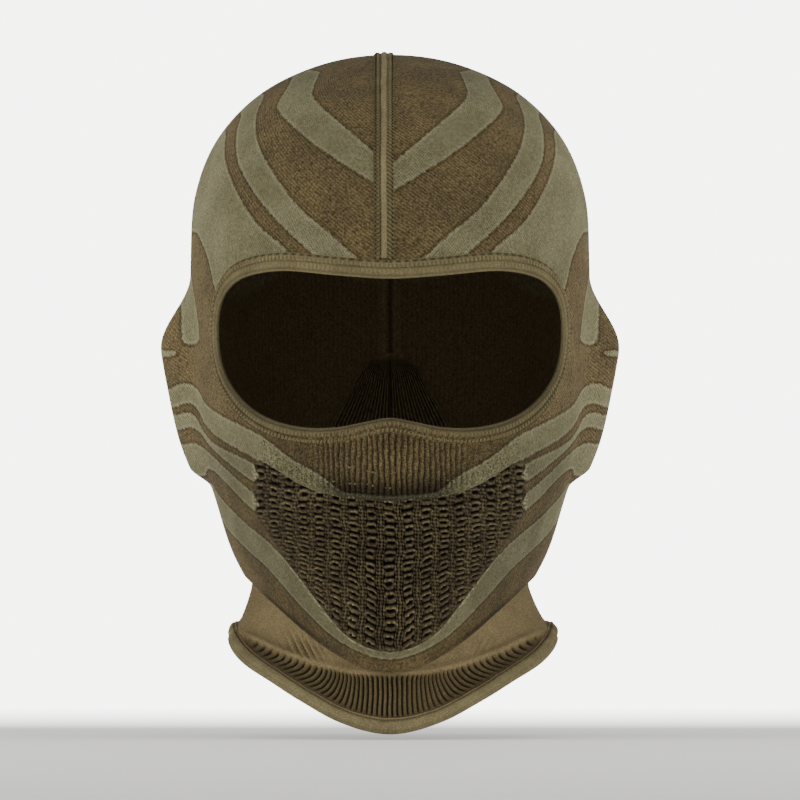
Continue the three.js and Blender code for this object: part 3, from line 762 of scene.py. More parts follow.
def finish_of(name):
    """The named material, made when it is first asked for."""
    if name not in FINISHES:
        colours = settings().colours()
        makers = {"jacquard_knit": jacquard_knit, "mesh_knit": mesh_knit, "knit_reverse": knit_reverse,
                  "rib_knit": rib_knit, "nose_knit": nose_knit, "binding_tape": binding_tape}
        FINISHES[name] = (makers[name](colours) if name in makers else
                          sewing_thread(name, colours["thread_dark" if name == "dark_thread" else "thread"]))
    return FINISHES[name]


class Builder:
    """Shared part of the operators: each builds its pieces in its own make method."""
    bl_options = {"REGISTER", "UNDO"}

    def execute(self, context):
        self.make(context.scene.balaclava)
        return {"FINISHED"}


# ---------------------------------------------------------------- hood
EYE_LOOP = smooth_closed(EYE_EDGE, 360)
MESH_LOOP = smooth_closed(MESH_EDGE, 300)


def lower_edge_distance(azimuth, level):
    """Distance above the lower edge of the hood, in millimetres."""
    return (lower_level(azimuth) - level) * LEVEL_MM * 0.75


HOOD_ROUND, HOOD_DOWN = 86, 305      # mean radius of the hood and length of its longest column of stitches
CROWN_SHARE = 0.0025                 # the first row stands just off the very top
EYE_OVERLAP, MESH_OVERLAP = 1.6, 1.2      # how far the knit runs on under the binding and under the mesh


def hood_half(side, grid_mm, wall):
    """Outer and inner points and faces of one half of the hood, its eye and mouth holes left out."""
    around, down = int(math.pi * HOOD_ROUND / grid_mm), int(HOOD_DOWN / grid_mm)
    share = np.linspace(0, 1, down + 1)
    share[0] = CROWN_SHARE
    azimuth, share = np.meshgrid(np.linspace(0, math.pi, around + 1), share, indexing="ij")
    level = share * lower_level(azimuth)
    points = form_point(azimuth, level)
    flat = np.stack([points[..., 0], points[..., 2]], -1)
    ahead = points[..., 1] < -10
    eye = np.where(ahead, signed_distance(flat, EYE_LOOP), -99)
    mouth = np.where(ahead, signed_distance(flat, MESH_LOOP), -99)
    edge = lower_edge_distance(azimuth, level)
    half = edge_round(edge, 2.2, wall / 2)
    # painted light along the lower edge at the sides with painted shade just above it; painted shade on the
    # forehead, low on the front and on the crown
    side_edge_light = np.exp(-((azimuth - math.radians(52)) / math.radians(22)) ** 2)
    shade = (0.55 * np.exp(-((edge - 2.6) / 1.3) ** 2) - 0.45 * np.exp(-((edge - 0.5) / 0.7) ** 2)) * side_edge_light
    height = points[..., 2]
    brow_shade = blend_in(points[..., 1], -25, -75) * blend_in(height, 8, 34) * blend_in(height, 116, 92)
    shade += 0.24 * brow_shade
    shade += lower_shade(points) + 0.22 * blend_in(height, 96, 126)
    normal = form_normal(azimuth, level)
    outer = points + normal * (half - wall / 2)[..., None]
    inner = points - normal * (half + wall / 2)[..., None]
    faces = grid_faces(around + 1, down + 1)
    if side > 0:
        faces = faces[:, ::-1]
    gone = ((eye > -EYE_OVERLAP) | (mouth > MESH_OVERLAP)).ravel()
    faces = faces[~gone[faces].any(1)]
    azimuth = azimuth * side
    for layer in (outer, inner):
        layer[..., 0] *= side
    return outer, inner, faces, azimuth, level, shade


class BALACLAVA_OT_hood(Builder, bpy.types.Operator):
    """Knit the two halves of the hood and the chin"""
    bl_idname = "balaclava.hood"
    bl_label = "Hood"

    def make(self, given):
        slots = [finish_of("jacquard_knit"), finish_of("knit_reverse")]
        chins = []
        for side, node in ((1, "hood_right"), (-1, "hood_left")):
            outer, inner, faces, azimuth, level, shade = hood_half(side, given.grid / MM, given.wall / MM)
            middle = outer.reshape(-1, 3)[faces].mean(1)
            chin = (np.abs(middle[:, 0]) < 38) & (middle[:, 2] < -60) & (middle[:, 1] < -20)
            behind = (np.abs(azimuth) > 2.6) * 1.0
            across = np.abs(outer[..., 0])
            band = 0.35 * np.exp(-((across - 2.6) / 1.4) ** 4) - 0.9 * np.exp(-((across - 0.2) / 0.5) ** 2)
            values = knit_values(azimuth, level, shade=shade, relief=band * behind)
            half = two_faced("knit_" + node, outer, inner, faces[~chin], values, slots)
            chins.append(two_faced(f"chin_{node}", outer, inner, faces[chin], values, slots))
            follow_face(half)
            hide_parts(node)
        chin = joined("knit_chin", chins)
        follow_face(chin)
        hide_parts("chin_panel")


# ---------------------------------------------------------------- mouth mesh
def scatter(a, b, seed):
    """Fixed pseudo-random value from 0 to 1 for whole numbers a and b."""
    value = np.sin(a * 12.9898 + b * 78.233 + seed * 37.719) * 43758.5453
    return value - np.floor(value)


def openwork(x, z, column, row):
    """Relief of the mouth mesh, about -1 in its slits and 1 on its loops."""
    sag = mix(0.62, 0.12, blend_in(z, -92, -44))
    lean = x + 0.4 * np.sin(z * 0.23 + 0.6 * np.sin(x * 0.15)) + 0.25 * np.sin(z * 0.61 + x * 0.2)
    u = lean / (column * (1 - 0.003 * np.abs(x))) + 0.5
    v = (z - sag * np.sqrt(x ** 2 + 20) + 0.5 * np.sin(x * 0.31 + z * 0.12)) / row
    i, j = np.floor(u), np.floor(v)
    a, b = (u - i - 0.5) * column, (v - j - 0.5) * row
    wide, tall = 1.75 + 0.5 * scatter(i, j, 1), 1.45 + 0.4 * scatter(i, j, 2)
    b = b + 0.5 * (scatter(i, j, 3) - 0.5)
    aside, above = np.abs(a) / wide, np.abs(b + 0.1) / tall
    out = np.maximum(aside, above) * 0.6 + 0.4 * np.hypot(aside, above)
    ring = np.exp(-((out - 1) / 0.24) ** 2) * (0.75 + 0.35 * np.sign(b) * np.abs(b / tall))
    ring = ring * (0.7 + 0.5 * np.sin(a * 3.1 + j) * np.sin(b * 2.7 + i))
    slit = np.exp(-(a / (1.55 + 0.4 * scatter(i, j, 4))) ** 4 - ((b - 0.15) / 0.62) ** 2)
    upper = np.exp(-(a / 2.2) ** 4 - ((np.abs(b) - row / 2) / 0.42) ** 2)
    bar = 0.7 * np.exp(-(a / 1.3) ** 4 - ((b + 0.95) / 0.3) ** 2) * (scatter(i, j, 5) > 0.35)
    edge = column / 2 - np.abs(a)
    broken = 0.55 + 0.45 * np.sin(z * 1.9 + 2.1 * i + 1.3 * np.sin(x * 0.7))
    cords = (0.6 * np.exp(-((edge - 0.25) / 0.26) ** 2) + 0.55 * np.exp(-((edge - 1.2) / 0.24) ** 2)) * broken
    cords -= 0.7 * np.exp(-((edge - 0.72) / 0.22) ** 2) + 0.8 * np.exp(-((edge - 1.75) / 0.28) ** 2)
    links = 0.45 * np.cos(2 * math.pi * z / 1.45 + a) * np.exp(-((edge - 0.8) / 0.9) ** 2)
    return np.clip(1.45 * ring + bar + cords + links - 1.35 * slit - 1.1 * upper - 0.2, -1.3, 1.5)


class BALACLAVA_OT_mouth_mesh(Builder, bpy.types.Operator):
    """Knit the openwork panel over the mouth"""
    bl_idname = "balaclava.mouth_mesh"
    bl_label = "Mouth mesh"

    def make(self, given):
        heights = np.arange(-30.5, -105.9, -0.425)
        right = MESH_LOOP[MESH_LOOP[:, 0] >= 0]
        order = np.argsort(-right[:, 1])
        reach = np.interp(-heights, -right[order, 1], right[order, 0])
        reach = np.where(heights > -41, 54.2, np.maximum(reach, 2.0)) + 0.6
        z, t = np.meshgrid(heights, np.linspace(-1, 1, 257), indexing="ij")
        x = t * reach[:, None]
        azimuth, level = face_spot(x, z)
        flat = np.stack([x, z], -1)
        inside = signed_distance(flat, MESH_LOOP)
        wander = 0.6 * np.sin(x * 1.7 + z * 0.31) + 0.5 * np.sin(x * 0.43 - z * 1.9)
        fade = blend_in(inside + wander, -0.6, 3.2)
        relief = openwork(x, z, given.mesh_column / MM, given.mesh_row / MM)
        rough = 0.5 * np.sin(x * 2.3 + 1.7 * np.sin(z * 1.1)) * np.sin(z * 2.1 + 1.3 * np.sin(x * 0.9))
        relief = relief * (0.3 + 0.7 * fade) + rough * 0.4
        lift = 0.25 + 0.85 * relief * (0.4 + 0.6 * fade)
        edge = edge_round(np.maximum(inside + 0.6, 0), 1.4, 1.0)
        outer = on_form(azimuth, level, lift * edge - 0.3 * (1 - edge))
        inner = on_form(azimuth, level, -1.5 + 0 * lift)
        values = knit_values(azimuth, level, relief=relief * edge, shade=lower_shade(outer))
        camo = values["camo"]
        values["camo"] = np.where(inside > 4, np.minimum(camo, -3), camo - 1.3 * np.maximum(inside, 0))
        panel = two_faced("mouth_mesh", outer, inner, grid_faces(*x.shape), values,
                          [finish_of("mesh_knit"), finish_of("knit_reverse")])
        follow_face(panel)
        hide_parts("mouth_mesh_panel")


# ---------------------------------------------------------------- ribbed nose panel
class BALACLAVA_OT_nose_panel(Builder, bpy.types.Operator):
    """Knit the ribbed panel over the nose, which is drawn down off the nose and mouth"""
    bl_idname = "balaclava.nose_panel"
    bl_label = "Nose panel"

    def make(self, given):
        across = np.linspace(-58, 58, 291)
        nose = np.array([(-x, z) for x, z in NOSE_EDGE[:0:-1]] + NOSE_EDGE, float)
        bottom = np.interp(across, nose[:, 0], nose[:, 1])
        kernel = np.hanning(23) / np.hanning(23).sum()
        bottom = np.convolve(np.pad(bottom, 11, mode="edge"), kernel, mode="valid")
        right = EYE_LOOP[(EYE_LOOP[:, 1] < 12)]
        order = np.argsort(right[:, 0])
        top = np.interp(across, right[order, 0], right[order, 1]) - 1.8
        t, x = np.meshgrid(np.linspace(0, 1, 61), across, indexing="ij")
        z = mix(top[None], bottom[None], t)
        azimuth, level = face_spot(x, z)
        below = z - bottom[None]
        place = (x + 0.14 * np.sin(z * 0.8 + x) + 0.25 * np.sin(z * 0.19 + x * 0.3)) / (given.nose_rib / MM)
        ribs = 1 - 1.9 * np.exp(-((np.abs(place - np.round(place)) * given.nose_rib / MM) / 0.42) ** 2)
        fade = (1 - blend_in(np.abs(x), 20, 38)) * blend_in(below, 1.2, 4.0)
        relief = ribs * fade
        tuck = blend_in(np.abs(x), 58, 44)
        turned = edge_round(below, 1.5, 1.0)
        outer = on_form(azimuth, level, mix(-0.35, mix(0.0, 0.95 * turned, tuck), tuck) + 0.42 * relief)
        inner = on_form(azimuth, level, -0.4 - 0.2 * turned)
        # painted shade over the lower middle of the panel and a little over all of it, and a painted highlight on
        # the nose tip
        shade = 0.62 * (1 - blend_in(below, 3, 12)) * (1 - blend_in(np.abs(x), 14, 34)) + 0.46
        shade -= 0.2 * np.exp(-(x / 9) ** 2 - ((z + 29) / 7) ** 2)
        values = knit_values(azimuth, level, relief=relief + 0.45 * (1 - fade), shade=shade)
        values["camo"] = np.maximum(values["camo"], 1.7 - np.abs(below - 1.0))
        panel = two_faced("ribbed_nose", outer, inner, grid_faces(*x.shape), values,
                          [finish_of("nose_knit"), finish_of("knit_reverse")])
        follow_face(panel)
        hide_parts("nose_rib_panel")


# ---------------------------------------------------------------- eye binding
def lip_frame(count):
    """Points of the eye edge on the knit, the ways off the face and outward from the hole, and its run."""
    loop = smooth_closed(EYE_EDGE, count)
    azimuth, level = face_spot(loop[:, 0], loop[:, 1])
    azimuth = np.where(loop[:, 0] == 0, 0, azimuth)
    point, normal = form_point(azimuth, level), form_normal(azimuth, level)
    along = np.roll(point, -1, axis=0) - np.roll(point, 1, axis=0)
    along /= np.linalg.norm(along, axis=1, keepdims=True)
    outward = np.cross(normal, along)
    outward /= np.linalg.norm(outward, axis=1, keepdims=True)
    step = np.linalg.norm(np.diff(np.vstack([point, point[:1]]), axis=0), axis=1)
    run = np.concatenate([[0], np.cumsum(step)[:-1]])
    return point, normal, outward, run, step.sum()


class BALACLAVA_OT_eye_binding(Builder, bpy.types.Operator):
    """Fold the binding round the eye opening and sew it down"""
    bl_idname = "balaclava.eye_binding"
    bl_label = "Eye binding"

    def make(self, given):
        count = 1000
        point, normal, outward, run, total = lip_frame(count)
        # distance from the lip, lift off the knit: over the outer leg, round the lip and back inside
        section = np.array([
            (7.2, -0.5), (7.1, 0.15), (6.8, 0.55), (6.3, 0.8), (5.7, 0.92), (5.1, 0.98), (4.5, 1.0),
            (3.9, 1.02), (3.3, 1.05), (2.7, 1.1), (2.1, 1.16), (1.5, 1.22), (0.9, 1.26), (0.4, 1.22),
            (0.0, 1.02), (-0.28, 0.7), (-0.36, 0.3), (-0.2, -0.1), (0.3, -0.5), (1.2, -0.95), (2.4, -1.4),
            (3.6, -1.8), (4.8, -2.05), (5.8, -2.1), (6.4, -1.7)])
        b, h = section[:, 0], section[:, 1]
        s, b = np.meshgrid(run, b, indexing="ij")
        h = np.broadcast_to(h, b.shape).copy()
        repeats = round(total / 1.75)
        turn = 2 * math.pi * repeats * s / total
        face = (h > 0.5) & (b > 0.8)
        inner_row = np.exp(-((b - 2.5) / 0.85) ** 2) * np.cos(turn + 0.8 * b)
        outer_row = np.exp(-((b - 4.9) / 0.75) ** 2) * np.cos(turn + 1.4 + 0.8 * b)
        # painted shade: dark grooves between the stitch rows and a dark line along the outer edge, where the
        # binding meets the knit
        groove = -1.1 * np.exp(-((b - 3.75) / 0.3) ** 2) - 0.9 * np.exp(-((b - 1.15) / 0.25) ** 2)
        edge = -2.2 * np.exp(-((b - 6.6) / 0.45) ** 2) * (0.65 + 0.35 * np.cos(turn * 0.5))
        relief = np.where(face, 0.35 + 0.4 * inner_row + 0.75 * outer_row + groove + edge, 0.3)
        h = h + np.where(face, 0.26 * (relief - 0.35), 0)
        points = point[:, None] + outward[:, None] * b[..., None] + normal[:, None] * h[..., None]
        # painted shade on the lower half of the ring and round the lip; darker towards the sides
        relief = relief - 0.6 * blend_in(points[..., 2], 24, -10) - 0.45 * (b < 1.0)
        relief = relief - 0.25 * blend_in(np.abs(points[..., 0]), 40, 62)
        # painted highlight on the turned lip
        lip = np.exp(-((b - 0.1) / 0.22) ** 2) * (section[:, 1] > 0.2)
        faces = grid_faces(count, len(section), closed_columns=True, closed_rows=True)
        ring = make_mesh("eye_binding_ring", points, faces[:, ::-1], {"relief": relief, "lip": lip},
                         [finish_of("binding_tape")])
        follow_face(ring)
        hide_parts("eye_binding_upper", "eye_binding_lower")
        for name, node, distance, slant in (("eye_stitches_inner", "eye_stitches_upper", 2.5, 1.35),
                                            ("eye_stitches_outer", "eye_stitches_lower", 5.0, 1.1)):
            path = point + outward * distance + normal * 1.12
            sizes = {"Stitch length": 0.0017, "Thread": 0.00052, "Slant": slant, "Wander": 0.25, "Seed": 5}
            row = stitch_row(name, path, normal, finish_of("light_thread"), closed=True,
                             Pitch=total * MM / repeats, **sizes)
            follow_face(row)
            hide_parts(node)


# ---------------------------------------------------------------- crown seam
SEAM_FRONT = 50.2      # height where the seam comes out of the eye binding


def middle_line(count):
    """Points along the middle of the hood from the eye binding over the crown to the nape."""
    front, back = level_at(SEAM_FRONT), float(lower_level(math.pi))
    level = np.linspace(-front, back - 0.02, count)
    azimuth = np.where(level < 0, 0.0, math.pi)
    point, normal = form_point(azimuth, np.abs(level)), form_normal(azimuth, np.abs(level))
    point[:, 0], normal[:, 0] = 0, 0
    normal /= np.linalg.norm(normal, axis=1, keepdims=True)
    return point, normal


class BALACLAVA_OT_crown_seam(Builder, bpy.types.Operator):
    """Sew the halves together over the crown with a covered seam"""
    bl_idname = "balaclava.crown_seam"
    bl_label = "Crown seam"

    def make(self, given):
        count = 900
        point, normal = middle_line(count)
        run = np.concatenate([[0], np.cumsum(np.linalg.norm(np.diff(point, axis=0), axis=1))])
        section = np.array([
            (-6.6, -0.9), (-6.5, 0.0), (-6.2, 0.3), (-5.6, 0.5), (-5.0, 0.6), (-4.5, 0.6), (-4.15, 0.5),
            (-3.85, 0.42), (-3.55, 0.55), (-3.25, 0.85), (-2.85, 1.05), (-2.3, 1.12), (-1.8, 1.05),
            (-1.45, 0.85), (-1.2, 0.62), (-0.95, 0.52), (-0.7, 0.6), (-0.35, 0.68), (0.2, 0.68),
            (0.75, 0.58), (1.15, 0.4), (1.5, 0.15), (1.8, -0.1), (2.0, -0.9)])
        s, x = np.meshgrid(run, section[:, 0], indexing="ij")
        h = np.broadcast_to(section[:, 1], x.shape)
        holes = np.cos(2 * math.pi * s / 1.8)
        ribs = 0.07 * np.cos(2 * math.pi * s / 0.9 + 2 * x) * (h > 0.3)
        dip = (np.exp(-((x + 5.2) / 0.45) ** 2) + np.exp(-((x - 1.3) / 0.45) ** 2)) * np.clip(holes, 0, 1) * 0.5
        lift = h + ribs - dip
        points = point[:, None] + normal[:, None] * lift[..., None]
        points[..., 0] = x + 0.12 * np.sin(s * 0.13) + 0.08 * np.sin(s * 0.41)
        loops = (np.cos(2 * math.pi * s / 1.8 + 2.4 * np.abs(x + 2.3))
                 + 0.4 * np.cos(2 * math.pi * s / 0.9 - 3 * x))
        # painted shade in the needle holes, in the groove beside the cord and along the edges of the tape;
        # painted highlight along the cord
        relief = np.where((x > -3.4) & (x < -1.3), 0.6, -0.35 + 0.65 * loops) + ribs * 3 - dip * 4
        relief = np.where(np.abs(x + 3.85) < 0.25, -1.0, np.where((x > 1.6) | (x < -6.1), -0.7, relief))
        # painted highlight on the crest of the cord
        lip = np.where((x > -3.2) & (x < -1.5), 0.12, 0.0)
        faces = grid_faces(count, len(section), closed_columns=True)
        seam = make_mesh("crown_seam_cover", points, faces,
                         {"relief": relief, "lip": lip}, [finish_of("binding_tape")])
        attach(seam, "hood")
        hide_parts("crown_seam_cord")
        for side, node in ((1, "crown_stitches_right"), (-1, "crown_stitches_left")):
            rows = []
            # the short dark stitches are painted shade in the needle holes of the seam
            for distance, slant, length, yarn, seed in ((2.35, 0.85, 0.0015, "light_thread", 1),
                                                        (3.15, -0.5, 0.0008, "dark_thread", 2)):
                path = point + normal * 0.68
                path[:, 0] = side * distance - (2.2 if side > 0 else 2.5)
                sizes = {"Stitch length": length, "Thread": 0.00045, "Slant": slant, "Wander": 0.3, "Seed": seed}
                rows.append(stitch_row(f"seam_row_{seed}", path, normal, finish_of(yarn),
                                       Pitch=given.stitch_pitch, **sizes))
            row = joined(f"seam_stitches_{'right' if side > 0 else 'left'}", rows)
            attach(row, "hood")
            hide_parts(node)


# ---------------------------------------------------------------- nape ribs
class BALACLAVA_OT_nape(Builder, bpy.types.Operator):
    """Knit the two ribbed fans at the nape"""
    bl_idname = "balaclava.nape"
    bl_label = "Nape ribs"

    def make(self, given):
        for side, node in ((1, "nape_rib_right"), (-1, "nape_rib_left")):
            heights = np.linspace(13, -80, 150)
            half = np.interp(-heights, [-15, -5, 16, 45, 75, 120], [3.0, 14, 25, 31, 34, 34])
            z, t = np.meshgrid(heights, np.linspace(0.02, 1, 121), indexing="ij")
            x = t * half[:, None]
            azimuth, level = face_spot(x, z)
            azimuth = math.pi - azimuth
            ribs = np.cos(2 * math.pi * t * 15)
            edge = blend_in(t, 1.0, 0.93) * blend_in(heights, 13, 8)[:, None]
            edge = edge * blend_in(heights, -80, -77)[:, None]
            relief = np.sign(ribs) * np.abs(ribs) ** 0.7 * edge
            outer = on_form(azimuth, level, 0.35 * edge + 0.3 * relief - 0.15)
            inner = on_form(azimuth, level, -1.95 - 0.35 * relief * edge)
            values = knit_values(azimuth, level, relief=relief + 0.3 * (1 - edge), shade=np.zeros_like(relief))
            for layer in (outer, inner):
                layer[..., 0] *= side
            faces = grid_faces(*x.shape)
            fan = two_faced("ribbed_" + node, outer, inner, faces if side < 0 else faces[:, ::-1], values,
                            [finish_of("nose_knit"), finish_of("knit_reverse")])
            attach(fan, "hood")
            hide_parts(node)


# ---------------------------------------------------------------- collar and hem
def tuck_clear(azimuth):
    """How far the top of the collar stands inside the hood."""
    turn = turn_from_front(azimuth)
    return mix(6.8, 0.8, np.exp(-((turn - math.radians(94)) / math.radians(13)) ** 2))


def collar_spot(azimuth, share):
    """Point of the collar at a share of its height, 0 under the hood and 1 at the hem."""
    azimuth, share = np.broadcast_arrays(np.asarray(azimuth, float), np.asarray(share, float))
    edge = form_point(azimuth, lower_level(azimuth))
    way = form_point(azimuth + 0.02, lower_level(azimuth + 0.02)) - form_point(azimuth - 0.02,
                                                                              lower_level(azimuth - 0.02))
    inward = np.stack([-way[..., 1], way[..., 0]], -1)
    inward /= np.linalg.norm(inward, axis=-1, keepdims=True)
    top = edge.copy()
    top[..., :2] += inward * (1.6 + tuck_clear(azimuth))[..., None]
    top[..., 2] += 13
    foot = np.stack([mix(61.5, 63.5, azimuth > 0) * np.sin(azimuth), mix(-81, 70, 0.5 - 0.5 * np.cos(azimuth)),
                     around_table(COLLAR_EDGE, azimuth)], -1)
    aside = np.exp(-((turn_from_front(azimuth) - math.radians(84)) / math.radians(24)) ** 2)
    flare = np.maximum(share ** 4, aside * (np.maximum(share - 0.45, 0) / 0.55) ** 1.3)[..., None]
    spot = mix(top, foot, flare)
    spot[..., 2] = mix(top[..., 2], foot[..., 2], share)
    return spot


def collar_frame(azimuth, share):
    """Point of the collar with the ways down it and off it."""
    step = 0.01
    point = collar_spot(azimuth, share)
    down = point - collar_spot(azimuth, share - step)
    down /= np.linalg.norm(down, axis=-1, keepdims=True)
    way = collar_spot(azimuth + step, share) - collar_spot(azimuth - step, share)
    off = np.cross(down, way)
    return point, down, off / np.linalg.norm(off, axis=-1, keepdims=True)


FRONT_TURN, SEAM_TURN = 62, 178.4      # degrees where the ribbed front ends and where the back seam starts
BEND_SHARE, RIB_SHARE = 0.6, 0.93      # heights on the collar where its rib count and its front ribs are taken
FRONT_RIB = 2.05                       # distance between the front ribs
HEM_POINTS = 28


class BALACLAVA_OT_collar(Builder, bpy.types.Operator):
    """Knit the ribbed collar and bind its hem"""
    bl_idname = "balaclava.collar"
    bl_label = "Collar and hem"

    def make(self, given):
        wall = given.wall / MM
        steps, rows = 1440, 56
        azimuth, share = np.meshgrid(np.linspace(-math.pi, math.pi, steps, endpoint=False),
                                     np.linspace(0, 1, rows), indexing="xy")
        _, down, off = collar_frame(azimuth, np.maximum(share, 0.012))
        point = collar_spot(azimuth, share)
        turn = np.abs(azimuth)
        ring = collar_spot(azimuth[-1], BEND_SHARE)
        arc = np.cumsum(np.linalg.norm(np.diff(ring, axis=0, append=ring[:1]), axis=1))
        count = round(arc[-1] / (given.collar_rib / MM))
        spread = blend_in(np.abs(point[..., 0]), 8, 34)
        place = mix(point[..., 0], collar_spot(azimuth, RIB_SHARE)[..., 0], spread)
        front_ribs = np.cos(2 * math.pi * place / FRONT_RIB + 0.35 * np.sin(share * 16 + 5 * azimuth))
        back_ribs = np.cos(2 * math.pi * count * (arc / arc[-1])[None] + 0.35 * np.sin(share * 7))
        ribs = np.where(turn < 1.5, front_ribs, back_ribs)
        front = blend_in(turn, math.radians(92), math.radians(66))
        reach, height = np.abs(point[..., 0]), point[..., 2]
        ridge = np.interp(reach, [0, 15, 31, 46, 58, 68], [-115.5, -114.8, -111.5, -105.8, -100.5, -97])
        below = ridge - height
        ribbed = blend_in(below, -0.5, 1.0) * front
        behind = blend_in(turn, math.radians(96), math.radians(118))
        strength = (ribbed + 0.5 * behind) * blend_in(share, 1.0, 0.95)
        relief = np.sign(ribs) * np.abs(ribs) ** 0.7 * strength
        gather = np.exp(-((point[..., 0] + 35) / 7.5) ** 2) + 0.45 * np.exp(-((point[..., 0] - 38) / 7.5) ** 2)
        gather = gather * np.exp(-((below + 5) / 4.2) ** 2) * front
        gills = np.cos(2 * math.pi * (point[..., 0] - np.sign(point[..., 0]) * 0.55 * height
                                      - 0.02 * (height + 104) ** 2) / 2.6) * gather
        pucker = 0.5 * np.sin(azimuth * 13 + share * 6)
        pucker = pucker * np.exp(-((turn - math.radians(44)) / math.radians(14)) ** 2)
        pucker = pucker * np.exp(-((share - 0.72) / 0.2) ** 2)
        fold = 1.5 * np.exp(-((below + 0.8) / 2.0) ** 2) * front
        lift = 0.42 * relief + 0.85 * gills + pucker + fold - 1.1 * ribbed * blend_in(share, 1.0, 0.9) - 0.4
        # painted shade at the top of the collar under the hood, on the front ribs and just above the hem; painted
        # light on the fold ridge and on the plain knit above it
        shade = 0.7 * (1 - blend_in(share, 0.2, 0.5)) + 0.3 * ribbed
        shade += 0.3 * blend_in(share, 0.92, 0.99) * ribbed
        plain = 0.55 * (1 - ribbed) * blend_in(share, 0.4, 0.6)
        shade -= (0.22 * np.exp(-((below + 1.0) / 1.6) ** 2) + plain) * front
        relief = relief + 1.4 * gills
        outer = point + off * lift[..., None]
        inner = point + off * (np.minimum(lift, 0) - wall)[..., None]
        values = {"relief": relief + 0.4 * (1 - strength), "shade": np.clip(shade, -0.65, 1),
                  "camo": np.full_like(relief, -5), "knit": np.stack([azimuth * 70, share * 40, 0 * share], -1)}
        faces = grid_faces(rows, steps, closed_columns=True)
        middle = azimuth.ravel()[faces].mean(1)
        middle = np.where(np.ptp(azimuth.ravel()[faces], axis=1) > 3, math.pi, middle)
        degrees = np.degrees(middle)
        weight = blend_in(share, 0.2, 0.9).ravel()
        groups = {"collar_front_rib": np.abs(degrees) <= FRONT_TURN,
                  "collar_right": (degrees > FRONT_TURN) & (degrees < SEAM_TURN),
                  "collar_left": (degrees < -FRONT_TURN) & (degrees > -SEAM_TURN),
                  "collar_back_seam": np.abs(degrees) >= SEAM_TURN}
        for node, chosen in groups.items():
            part = two_faced("knit_" + node, outer, inner, faces[chosen], {**values, "collar_share": weight},
                             [finish_of("rib_knit"), finish_of("knit_reverse")])
            part.data.attributes.remove(part.data.attributes["collar_share"])
            follow_collar(part)
            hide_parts(node)

        count = 720
        azimuth = np.linspace(-math.pi, math.pi, count, endpoint=False)
        point, down, off = collar_frame(azimuth, 1.0)
        corner = np.linspace(0, 2 * math.pi, HEM_POINTS, endpoint=False)
        along = np.sign(np.cos(corner)) * np.abs(np.cos(corner)) ** 0.75 * 3.3 + 3.1
        thick = np.sign(np.sin(corner)) * np.abs(np.sin(corner)) ** 0.8 * 1.9
        crease = np.exp(-((along - 1.0) / 0.5) ** 2) * (thick > 0)
        a, t = np.meshgrid(azimuth, np.arange(HEM_POINTS), indexing="ij")
        wave = 0.12 * np.sin(a * 37) + 0.1 * np.sin(a * 61 + 1)
        depth = along[t]
        # painted shade in the crease and on the lower part of the roll
        relief = 0.8 - 1.9 * crease[t] - 0.5 * (depth > 5.2) + 0.12 * np.cos(a * 360)
        proud = thick[t] + np.where(thick[t] > 0, wave, 0) - 0.55 * crease[t]
        points = point[:, None] + down[:, None] * depth[..., None] + off[:, None] * (proud - 0.7)[..., None]
        # painted highlight along the top of the roll
        lip = 0.6 * ((thick[t] > 0.2) & (depth < 0.9))
        hem = make_mesh("hem_binding_roll", points, grid_faces(count, HEM_POINTS, True, True),
                        {"relief": relief, "lip": lip}, [finish_of("binding_tape")])
        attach(hem, "collar")
        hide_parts("hem_binding")
        path = point + down * 2.0 + off * 1.05
        row = stitch_row("hem_stitch_row", path, off, finish_of("light_thread"), closed=True, Pitch=0.0028,
                         **{"Stitch length": 0.0021, "Thread": 0.0005, "Slant": 0.1, "Wander": 0.1, "Seed": 8})
        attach(row, "collar")
        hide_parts("hem_stitches")


# ---------------------------------------------------------------- stage
FLOOR_DROP = 0.003                    # the paper lies this far under the mask
FLOOR_NEAR, FLOOR_FAR, FLOOR_HALF = -12.0, 0.9, 6.0
CARD_Y, CARD_LOW, CARD_HIGH, CARD_HALF = 16.0, -1.6, 2.4, 3.0
CAMERA_DISTANCE, PICTURE_WIDTH = 9.0, 0.320
# name, place, side length in metres, power in watts
LIGHTS = [("left_panel", (-1.3, -0.5, 0.25), 1.2, 13.6), ("right_panel", (1.3, -0.5, 0.25), 1.2, 12.2),
          ("top_panel", (0, -0.4, 1.5), 1.4, 6.4), ("front_fill", (0, -2.2, 0.35), 1.2, 4.8),
          ("back_fill", (0, 2.2, 0.7), 1.2, 4.0)]


def stage_card(name, rows, paper):
    """Flat paper of the stage through rows of points in metres."""
    points = np.array(rows)
    card = make_mesh(name, points / MM, grid_faces(*points.shape[:2])[:, ::-1], None, [paper])


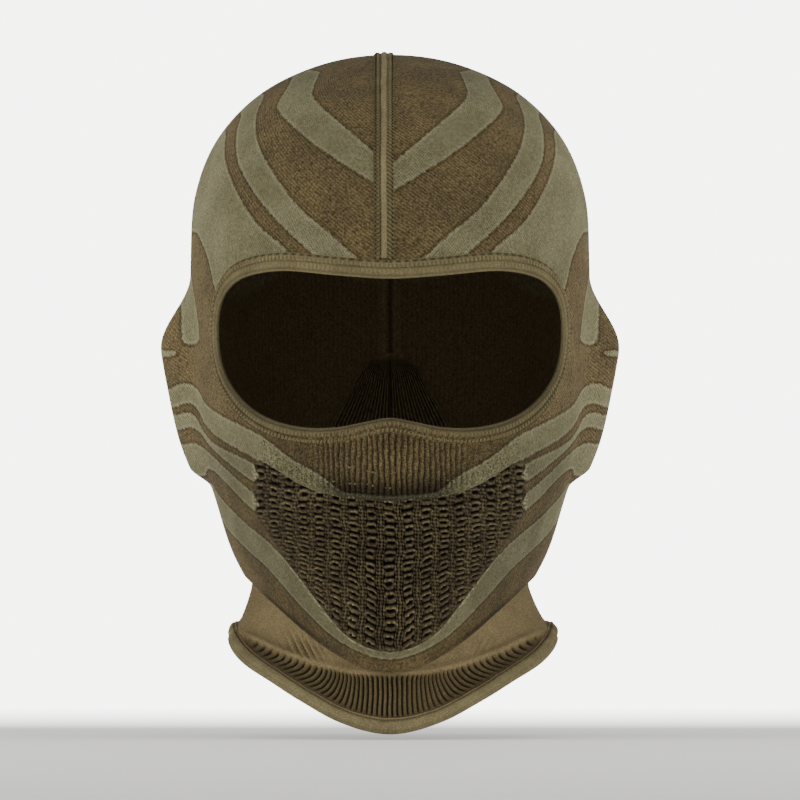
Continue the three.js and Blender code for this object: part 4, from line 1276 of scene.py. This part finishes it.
class BALACLAVA_OT_stage(Builder, bpy.types.Operator):
    """Set the pale paper sweep, the soft lights and the camera"""
    bl_idname = "balaclava.stage"
    bl_label = "Stage"

    def make(self, given):
        low = CAD_BOX[0][2] - FLOOR_DROP
        paper = plain_paper()
        stage_card("paper_floor", [[(x, y, low) for y in (FLOOR_NEAR, FLOOR_FAR)]
                                   for x in np.linspace(-FLOOR_HALF, FLOOR_HALF, 5)], paper)
        stage_card("backdrop_card", [[(x, CARD_Y, z) for z in (CARD_LOW, 0, CARD_HIGH)]
                                     for x in (-CARD_HALF, 0, CARD_HALF)], paper)
        world = bpy.data.worlds.new("soft_room")
        world.use_nodes = True
        air = world.node_tree.nodes["Background"]
        air.inputs["Color"].default_value = linear("#FFFFFF")
        air.inputs["Strength"].default_value = 0.35
        bpy.context.scene.world = world
        for name, place, size, power in LIGHTS:
            light = bpy.data.lights.new(name, "AREA")
            light.size, light.energy, light.shape = size, power, "SQUARE"
            lamp = bpy.data.objects.new(name, light)
            lamp.location = place
            aim = -np.array(place)
            lamp.rotation_euler = (math.acos(-aim[2] / np.linalg.norm(aim)), 0, math.atan2(-aim[0], aim[1]))
            bpy.context.collection.objects.link(lamp)
        camera = bpy.data.cameras.new("front_camera")
        camera.lens = camera.sensor_width * (CAMERA_DISTANCE - 0.02) / PICTURE_WIDTH
        camera.clip_end = 60
        view = bpy.data.objects.new("front_camera", camera)
        view.location = (0.004, -CAMERA_DISTANCE, -0.006)
        view.rotation_euler = (math.pi / 2, 0, 0)
        bpy.context.collection.objects.link(view)
        bpy.context.scene.camera = view


STEPS = (BALACLAVA_OT_stage, BALACLAVA_OT_eye_binding, BALACLAVA_OT_hood, BALACLAVA_OT_mouth_mesh,
         BALACLAVA_OT_nose_panel, BALACLAVA_OT_crown_seam, BALACLAVA_OT_nape, BALACLAVA_OT_collar)


class BALACLAVA_PT_sidebar(bpy.types.Panel):
    """Lists the steps of the balaclava"""
    bl_idname = "BALACLAVA_PT_sidebar"
    bl_label = "Balaclava"
    bl_space_type = "VIEW_3D"
    bl_region_type = "UI"
    bl_category = "Balaclava"

    def draw(self, context):
        for step in STEPS:
            self.layout.operator(step.bl_idname)
        for name in BalaclavaSettings.__annotations__:
            self.layout.prop(context.scene.balaclava, name)


CLASSES = (BalaclavaSettings, *STEPS, BALACLAVA_PT_sidebar)


def register():
    for kind in CLASSES:
        bpy.utils.register_class(kind)
    bpy.types.Scene.balaclava = bpy.props.PointerProperty(type=BalaclavaSettings)


def unregister():
    del bpy.types.Scene.balaclava
    for kind in reversed(CLASSES):
        bpy.utils.unregister_class(kind)


def main():
    register()
    for step in STEPS:
        group, name = step.bl_idname.split(".")
        getattr(getattr(bpy.ops, group), name)()


if __name__ == "__main__":
    main()
